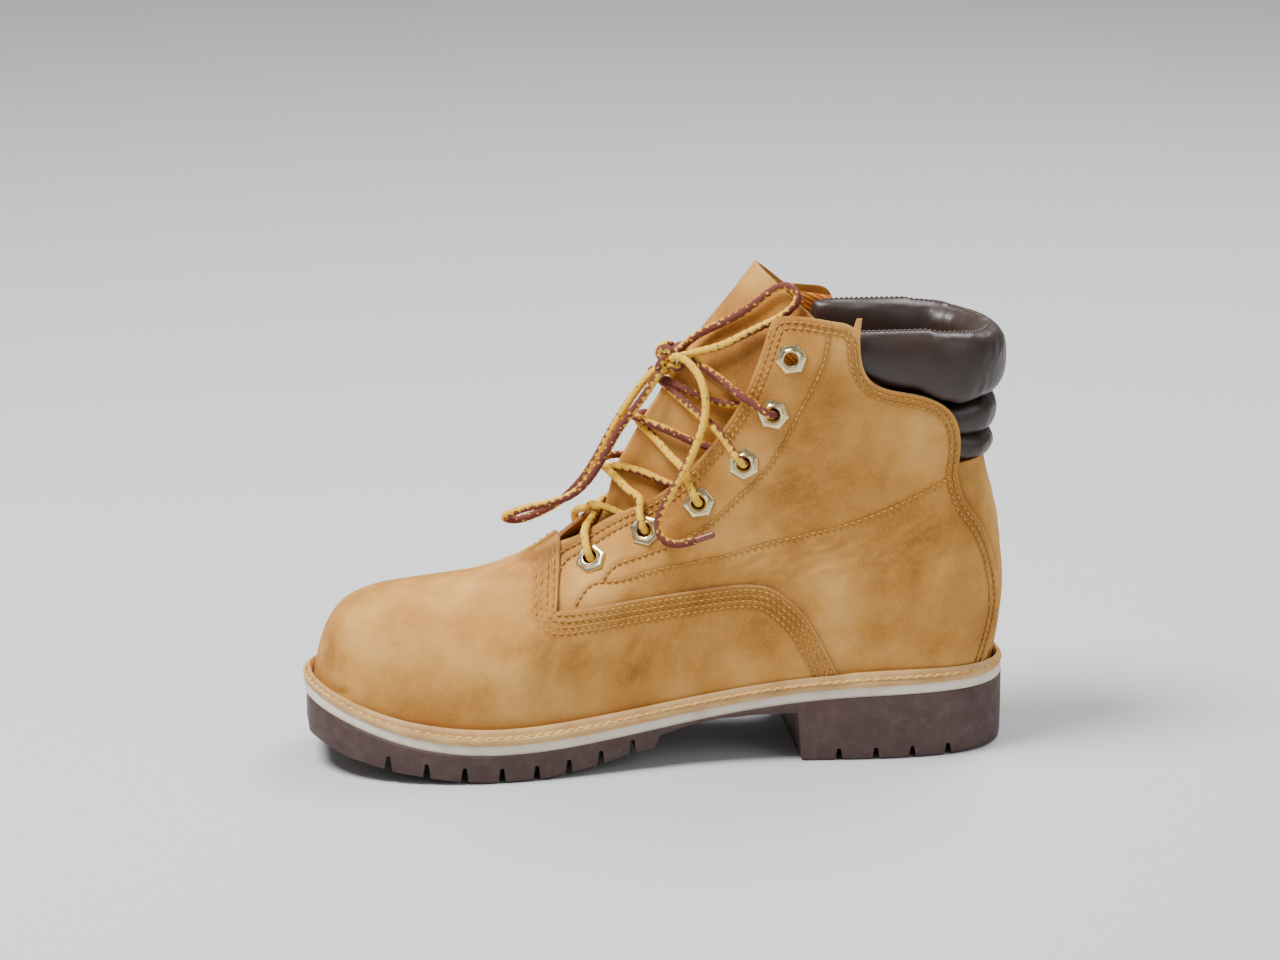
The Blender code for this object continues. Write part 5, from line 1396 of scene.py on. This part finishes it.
# ---------------------------------------------------------------- upper
def add_vamp():
    """Vamp, its lower block up to the wing line and its upper block from there over the ridge."""
    forward = np.linspace(0, 1, 110) ** 1.5
    start = front_x(POLE_Z)
    low_forward = lifted(start + (-48 - start) * forward, UPPER_LIFT - 1.0)
    crown = ridge(level(VAMP_DEPTH), start, THROAT_TOP_X, forward)
    low_forward[0] = crown[0]
    wing_line = dense([tuple(crown[0]), (-138, 47), (-115, 57), (-85, 62), WING_EDGE[0]])
    line_forward = along(wing_line, forward)
    wing = np.linspace(0, 1, 90)[1:]
    low_wing = lifted(-48 + (WING_END_X - 1 + 48) * wing, UPPER_LIFT - 1.0)
    line_wing = along(dense(WING_EDGE + [wing_end()]), wing)
    low = np.vstack([low_forward, low_wing])
    line = np.vstack([line_forward, line_wing])
    lower = between(low, line, np.linspace(0, 1, 36))
    upper = between(line_forward, crown, 1 - np.linspace(1, 0, 46) ** 2)
    mesh = fine_shell("vamp_leather", [(lower, ["left"]), (upper, ["left", "top"])], VAMP_DEPTH)
    rows = [inset_line(VAMP_EDGE, d) for d in VAMP_ROWS]

    def relief(at):
        broad = 0.40 * undulation(at, 30, 1) + 0.16 * undulation(at, 11, 2)
        flex = around(at, -56, 68, 14, 26) + 0.8 * around(at, -15, 52, 34, 12)
        folds = creases(at, 0.45, 0.89, 5, 3) * flex * 0.65
        dents = -0.9 * around(at, -137, 36, 3.0, 2.6) * (at[:, 1] < 0)
        return broad * np.clip((at[:, 2] - 30) / 20, 0.2, 1) + folds + dents + groove(at, rows, 0.30, 0.9)

    emboss(mesh, relief)
    # painted shade along the vamp's stitch rows
    shade_points(mesh, rows, 1.1)
    obj = link("vamp_leather", mesh, ["nubuck", "edge"])
    thicken(obj, VAMP_THICKNESS)
    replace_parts(obj, "vamp")
    on_side = [row[from_front(row[:, 0], row[:, 1]) > 1.2] for row in rows]
    sides = (MEDIAL, LATERAL)
    runs = [run_on(row, side, VAMP_DEPTH, STITCH_SPACING, 0.12) for row in on_side for side in sides]
    stitches = stitch_mesh("vamp_stitches", runs, STITCH_SHARE, STITCH_RADIUS)
    link("vamp_stitches", stitches, ["thread"], smooth_angle=80)


def add_quarter(side):
    across = closer_behind(170)
    foot, top, front, back = quarter_outline(across, 140)
    foot = foot - [0, 1.0]
    grid = patch(foot, top, front, back, across)
    placed = place(grid, side, QUARTER_DEPTH)
    middles = (placed[:-1, :-1] + placed[1:, 1:]) / 2
    skip = np.zeros(middles.shape[:2], bool)
    for index in range(len(EYELETS)):
        origin, _ = eyelet_axis(index, side)
        skip |= np.linalg.norm(middles - origin, axis=-1) < EYELET_OPENING
    name = "quarter_leather_" + SIDE_NAMES[side]
    mesh = mesh_from(name, [(placed, False, side == LATERAL, skip)])
    edge_rows = [inset_line(QUARTER_EDGE, d) for d in QUARTER_ROWS]
    single = [dense(ANKLE_STITCH), dense(EYESTAY_STITCH)]

    def relief(at):
        broad = 0.40 * undulation(at, 36, 4) + 0.16 * undulation(at, 13, 5)
        ankle = around(at, 62, 90, 34, 9) + 0.7 * around(at, 58, 128, 14, 16)
        ankle = ankle + 0.5 * around(at, 112, 100, 18, 14)
        folds = creases(at, 0.95, 0.31, 4.6, 6) * ankle * 0.8
        flex = creases(at, 0.75, 0.66, 4.5, 8) * around(at, 8, 92, 16, 8) * 0.35
        seams = groove(at, edge_rows, 0.30, 0.9) + groove(at, single, 0.30, 0.9)
        puff = 0.35 * around(at, 80, 70, 40, 22)
        return broad + folds + flex + puff + seams

    emboss(mesh, relief)
    # painted shade along the quarter's stitch rows
    shade_points(mesh, edge_rows + single, 1.0)
    obj = link(name, mesh, ["nubuck", "edge"])
    thicken(obj, QUARTER_THICKNESS)
    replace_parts(obj, "quarter_" + SIDE_NAMES[side])
    lines = edge_rows + single
    runs = [run_on(line, side, QUARTER_DEPTH, STITCH_SPACING, 0.15) for line in lines]
    stitches = stitch_mesh("quarter_stitches_" + SIDE_NAMES[side], runs, STITCH_SHARE, STITCH_RADIUS)
    link("quarter_stitches_" + SIDE_NAMES[side], stitches, ["thread"], smooth_angle=80)


def add_leather_tail():
    """Loose tail of leather that stands up at the rear top corner of the medial quarter."""
    up = np.linspace(0, 1, 14)[:, None]
    across = np.linspace(-1, 1, 6)[None, :]
    x = TAIL_FOOT[0] + TAIL_LEAN * up**1.5 + across * TAIL_WIDTH / 2 * (1 - 0.45 * up)
    z = TAIL_FOOT[1] + TAIL_HEIGHT * up + 0 * across
    grid = np.stack([x, z], axis=-1)
    mesh = mesh_from("leather_tail", [(place(grid, MEDIAL, QUARTER_DEPTH + 0.2), False, False, None)])
    shade_points(mesh, [], 1.0)
    obj = link("leather_tail", mesh, ["nubuck", "edge"])
    thicken(obj, 1.0)


def add_backstay():
    foot = float(outsole_top(140)) + UPPER_LIFT - 1.0
    heights = np.linspace(foot, 128, 90)
    seam = dense(BACKSTAY_SEAM + [(BACKSTAY_FOOT_X, foot)])[::-1]
    front = np.interp(heights, seam[:, 1], seam[:, 0]) - 8
    grid = heel_wrap(BACKSTAY_DEPTH, front, heights, 40)
    mesh = fine_shell("backstay_leather", [(grid, ["right"])], BACKSTAY_DEPTH)

    def relief(at):
        folds = creases(at, 0.5, 0.86, 7, 9) * around(at, 150, 100, 12, 20) * 0.3
        return 0.35 * undulation(at, 22, 7) + 0.12 * undulation(at, 9, 8) + folds

    emboss(mesh, relief)
    # painted shade along the backstay seam
    shade_points(mesh, [dense(BACKSTAY_SEAM)], 1.4)
    obj = link("backstay_leather", mesh, ["nubuck", "edge"])
    thicken(obj, BACKSTAY_THICKNESS)
    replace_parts(obj, "backstay")


def add_linings():
    """Twill linings behind the quarters and round the heel, and the collar's inner leather."""
    for side in (MEDIAL, LATERAL):
        name = "quarter_lining_" + SIDE_NAMES[side]
        across = np.linspace(0, 1, 60)
        foot = lifted(-32 + 140 * across, INSIDE_LIFT)
        facing = np.array(FACING_EDGE[3:]) + [1.6, -1.0]
        lower_front = dense([tuple(foot[0]), (-31, 60), (-25, 78), (-22, 92), tuple(facing[0])], 80)
        front = np.vstack([lower_front, dense(facing)])
        back_points = [(112, 60), (113, 100), (114, 130), (106, 148), (88, 156), (82, 170), (82, 188)]
        back = dense([tuple(foot[-1])] + back_points)
        top = dense([tuple(facing[-1]), (50, 191), (60, 192), (82, 188)])
        fractions = np.linspace(0, 1, 70)
        grid = patch(foot, along(top, across), along(front, fractions), along(back, fractions), across)
        placed = place(grid, side, LINING_DEPTH - 0.3)
        mesh = mesh_from(name + "_twill", [(placed, False, side == LATERAL, None)])
        obj = link(name + "_twill", mesh, ["twill", "twill"])
        thicken(obj, LINING_THICKNESS, bevel=0)
        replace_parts(obj, name)
    inside = float(outsole_top(140)) + INSIDE_LIFT
    heights = np.linspace(inside, 120, 40)
    grid = heel_wrap(HEEL_LINING_DEPTH, np.full(40, 100.0), heights, 30)
    mesh = fine_shell("heel_twill", [(grid, ["right"])], HEEL_LINING_DEPTH)
    obj = link("heel_twill", mesh, ["twill", "twill"])
    thicken(obj, LINING_THICKNESS, bevel=0)
    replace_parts(obj, "heel_lining")
    heights = np.linspace(126, 172, 40)
    front = np.interp(heights, np.linspace(126, 172, 5), [112, 108, 100, 94, 92])
    grid = heel_wrap(COLLAR_LINING_DEPTH, front, heights, 40)
    mesh = fine_shell("collar_lining_leather", [(grid, ["right"])], COLLAR_LINING_DEPTH)
    emboss(mesh, lambda at: 0.6 * undulation(at, 16, 11) + 0.25 * undulation(at, 6, 12))
    obj = link("collar_lining_leather", mesh, ["collar_leather", "collar_leather"])
    thicken(obj, LINING_THICKNESS)
    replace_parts(obj, "collar_lining")


def tongue_mesh(name, lower_by, trim):
    rows = 90
    fractions = np.linspace(0, 1, rows)
    crown = ridge(lambda z: lower_by + tongue_drop(z), TONGUE_ROOT_X, TONGUE_TIP_X - trim, fractions)
    edge = along(dense(TONGUE_EDGE), np.linspace(0, 1 - trim / 150, rows))
    k = 1 - np.linspace(1, 0, 34) ** 2
    grid = edge[:, None] * (1 - k[None, :, None]) + crown[:, None] * k[None, :, None]
    grids = []
    for side in (MEDIAL, LATERAL):
        placed = tongue_place(grid, side, lower_by)
        placed[:, -1, 1] = centre(grid[:, -1, 0])
        grids.append((placed, False, side == MEDIAL, None))
    return mesh_from(name, grids)


def add_tongue():
    mesh = tongue_mesh("tongue_leather", TONGUE_LOWER, 0.0)
    emboss(mesh, lambda at: 0.35 * undulation(at, 22, 13) + 0.15 * undulation(at, 8, 14))
    # painted shade along the tongue's edges, where they run under the facings
    shade_points(mesh, [dense(TONGUE_EDGE)], 3.0)
    obj = link("tongue_leather", mesh, ["nubuck", "edge"], body="tongue")
    thicken(obj, TONGUE_THICKNESS, bevel=0.5)
    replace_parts(obj, "tongue")
    mesh = tongue_mesh("tongue_twill", TONGUE_LOWER + TONGUE_THICKNESS + 0.5, 1.0)
    obj = link("tongue_twill", mesh, ["twill", "twill"], body="tongue")
    thicken(obj, LINING_THICKNESS, bevel=0)
    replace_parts(obj, "tongue_lining")


# ---------------------------------------------------------------- eyelets
EYELET_LOOK = [
    (2.7, -4.9, 0), (2.7, 0.9, 0), (2.8, 1.6, 0), (3.15, 2.05, 0), (3.7, 2.2, 0), (4.25, 1.95, 0),
    (4.6, 1.45, 0),
    (4.9, 1.2, 0.5), (6.2, 1.1, 1), (6.75, 0.85, 1), (7.0, 0.4, 1), (6.95, -0.35, 1), (3.25, -0.35, 0),
    (3.25, -4.3, 0), (4.4, -4.6, 0), (4.3, -4.95, 0),
]


def add_eyelets():
    count = 60
    angles = np.arange(count) * 2 * math.pi / count
    wedge = (angles + math.pi / 6) % (math.pi / 3) - math.pi / 6
    hexagon = math.cos(math.pi / 6) / np.cos(wedge)
    for side in (MEDIAL, LATERAL):
        for index in range(len(EYELETS)):
            origin, normal = eyelet_axis(index, side)
            u, v = frame_of(normal)
            tilt = 0.35 * index
            rings = []
            for radius, height, six_sided in EYELET_LOOK + EYELET_LOOK[:1]:
                reach = radius * (1 - six_sided + six_sided * hexagon)
                ring = np.outer(reach * np.cos(angles + tilt), u) + np.outer(reach * np.sin(angles + tilt), v)
                rings.append(origin + ring + normal * height)
            node = f"eyelet_{SIDE_NAMES[side]}_{index + 1}"
            mesh = mesh_from(node + "_ring", [(np.array(rings), True, True, None)], weld=0.001)
            obj = link(node + "_ring", mesh, ["eyelet_metal"], smooth_angle=35)
            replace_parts(obj, node)


# ---------------------------------------------------------------- padded collar
SWELL_CAP = 1.2
SWELL_FRAMES = 20
ROLL_VOXEL = 2.2
RIM_START = 78.0
RIM_END = 142.5
RIM_LEVEL = 184.0
RIM_DEPTH = 9.5
RIM_STITCH_SPACING = 2.2
PAD_CENTRE_X = 104.0
PAD_FILL = 4.2
PAD_PRESS = 1.1
TUCK_REACH = 16.0
TUCK_LENGTH = 13.0
TUCK_SINK = 0.8


def add_collar_roll(name, seed):
    """A padded roll: the solid's shape remeshed, swollen as cloth under pressure, then creased."""
    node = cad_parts[name]
    mesh = node.data.copy()
    obj = bpy.data.objects.new(name + "_leather", mesh)
    bpy.context.scene.collection.objects.link(obj)
    weld = obj.modifiers.new("weld", "WELD")
    weld.merge_threshold = 0.00005
    remesh = obj.modifiers.new("remesh", "REMESH")
    remesh.mode = "VOXEL"
    remesh.voxel_size = ROLL_VOXEL * MM
    apply_modifiers(obj)
    reshape_roll(obj)
    swell(obj)
    smooth = obj.modifiers.new("smooth", "SMOOTH")
    smooth.factor = 0.5
    smooth.iterations = 8
    subdivide = obj.modifiers.new("subdivide", "SUBSURF")
    subdivide.levels = 1
    subdivide.render_levels = 1
    apply_modifiers(obj)

    def relief(at):
        behind = around(at, 135, at[:, 2].mean(), 16, 30)
        folds = creases(at, 0.25, 0.97, 5, seed) * behind * 0.3
        return folds + 0.15 * undulation(at, 18, seed + 1)

    emboss(obj.data, relief)
    obj.data.materials.clear()
    obj.data.materials.append(MATERIALS["collar_leather"])
    obj.data.shade_smooth()
    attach(obj, "boot")
    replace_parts(obj, name)
    return obj


def reshape_roll(obj):
    """Fills the roll out inwards to the collar's lining and draws its ends on under the quarters."""
    mesh = obj.data
    at = coordinates(mesh) / MM
    start = at[:, 0].min()
    inward = np.column_stack([PAD_CENTRE_X - at[:, 0], -at[:, 1], 0 * at[:, 0]])
    inward /= np.linalg.norm(inward, axis=1, keepdims=True)
    normal = normals_of(mesh)
    facing_in = np.clip(np.sum(normal * inward, axis=1), 0, 1)
    moved = at + inward * facing_in[:, None] * PAD_FILL + normal * PAD_PRESS
    pull = 1 - step(at[:, 0], start, start + TUCK_REACH)
    tucked_x = moved[:, 0] - TUCK_LENGTH * pull
    side = np.sign(moved[:, 1] - centre(moved[:, 0]))
    before = half_width(moved[:, 0], moved[:, 2], 0)
    after = half_width(tucked_x, moved[:, 2], 0)
    moved[:, 1] += side * (after - before - pull * TUCK_SINK)
    moved[:, 0] = tucked_x
    mesh.vertices.foreach_set("co", (moved * MM).reshape(-1))
    mesh.update()


def swell(obj):
    """Blows the remeshed roll up a little as cloth, and keeps every point near where it was."""
    before = coordinates(obj.data)
    cloth = obj.modifiers.new("cloth", "CLOTH")
    cloth.settings.use_pressure = True
    cloth.settings.uniform_pressure_force = 4
    cloth.settings.effector_weights.gravity = 0
    cloth.settings.tension_stiffness = 20
    cloth.settings.compression_stiffness = 20
    cloth.point_cache.frame_start = 1
    cloth.point_cache.frame_end = SWELL_FRAMES
    for number in range(1, SWELL_FRAMES + 1):
        bpy.context.scene.frame_set(number)
    apply_modifiers(obj)
    bpy.context.scene.frame_set(1)
    move = coordinates(obj.data) - before
    distance = np.linalg.norm(move, axis=1, keepdims=True)
    capped = move * np.minimum(1, SWELL_CAP * MM / np.maximum(distance, 1e-9))
    obj.data.vertices.foreach_set("co", (before + capped).reshape(-1))
    obj.data.update()


def add_collar():
    rolls = [add_collar_roll(name, 20 + seed) for seed, name in enumerate(COLLAR_ROLLS)]
    add_rim_seam(rolls[0])


def add_rim_seam(roll):
    """Fine stitches along the top roll's inner rim, laid on its leather."""
    tree = BVHTree.FromObject(roll, bpy.context.evaluated_depsgraph_get())
    runs = []
    for side in (MEDIAL, LATERAL):
        xs = RIM_START + (RIM_END - RIM_START) * np.sin(np.linspace(0, math.pi / 2, 90))
        ys = centre(xs) + side * half_width(xs, np.full(90, RIM_LEVEL), RIM_DEPTH)
        hits = [tree.ray_cast(Vector((x, y, 230)) * MM, Vector((0, 0, -1))) for x, y in zip(xs, ys)]
        spots = np.array([list(hit[0] / MM) + list(hit[1]) for hit in hits if hit[0]])
        even = resample(spots, RIM_STITCH_SPACING)
        runs.append((even[:, :3] + even[:, 3:] * 0.1, even[:, 3:]))
    seam = stitch_mesh("collar_rim_stitches", runs, 0.8, 0.3)
    link("collar_rim_stitches", seam, ["brown_thread"], smooth_angle=80)


# ---------------------------------------------------------------- everything together
CARRIED_OVER = {
    "steel_toe_cap": "steel", "steel_shank": "steel", "toe_cap_gasket": "gasket_plastic",
    "vamp_lining": "twill",
    "cork_filler": "cork", "heel_filler": "cork", "insole_board": "fibreboard", "heel_counter": "fibreboard",
    "footbed": "footbed_foam", "gusset_medial": "nubuck", "gusset_lateral": "nubuck",
}

MATERIALS = make_materials()
add_camera()
add_laces()
add_studio()
add_outsole()
add_midsole()
add_welt()
add_vamp()
for quarter_side in (MEDIAL, LATERAL):
    add_quarter(quarter_side)
add_leather_tail()
add_backstay()
add_linings()
add_tongue()
add_eyelets()
add_collar()
for node_name, finish_name in CARRIED_OVER.items():
    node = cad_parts[node_name]
    for material_slot in node.material_slots:
        material_slot.material = MATERIALS[finish_name]
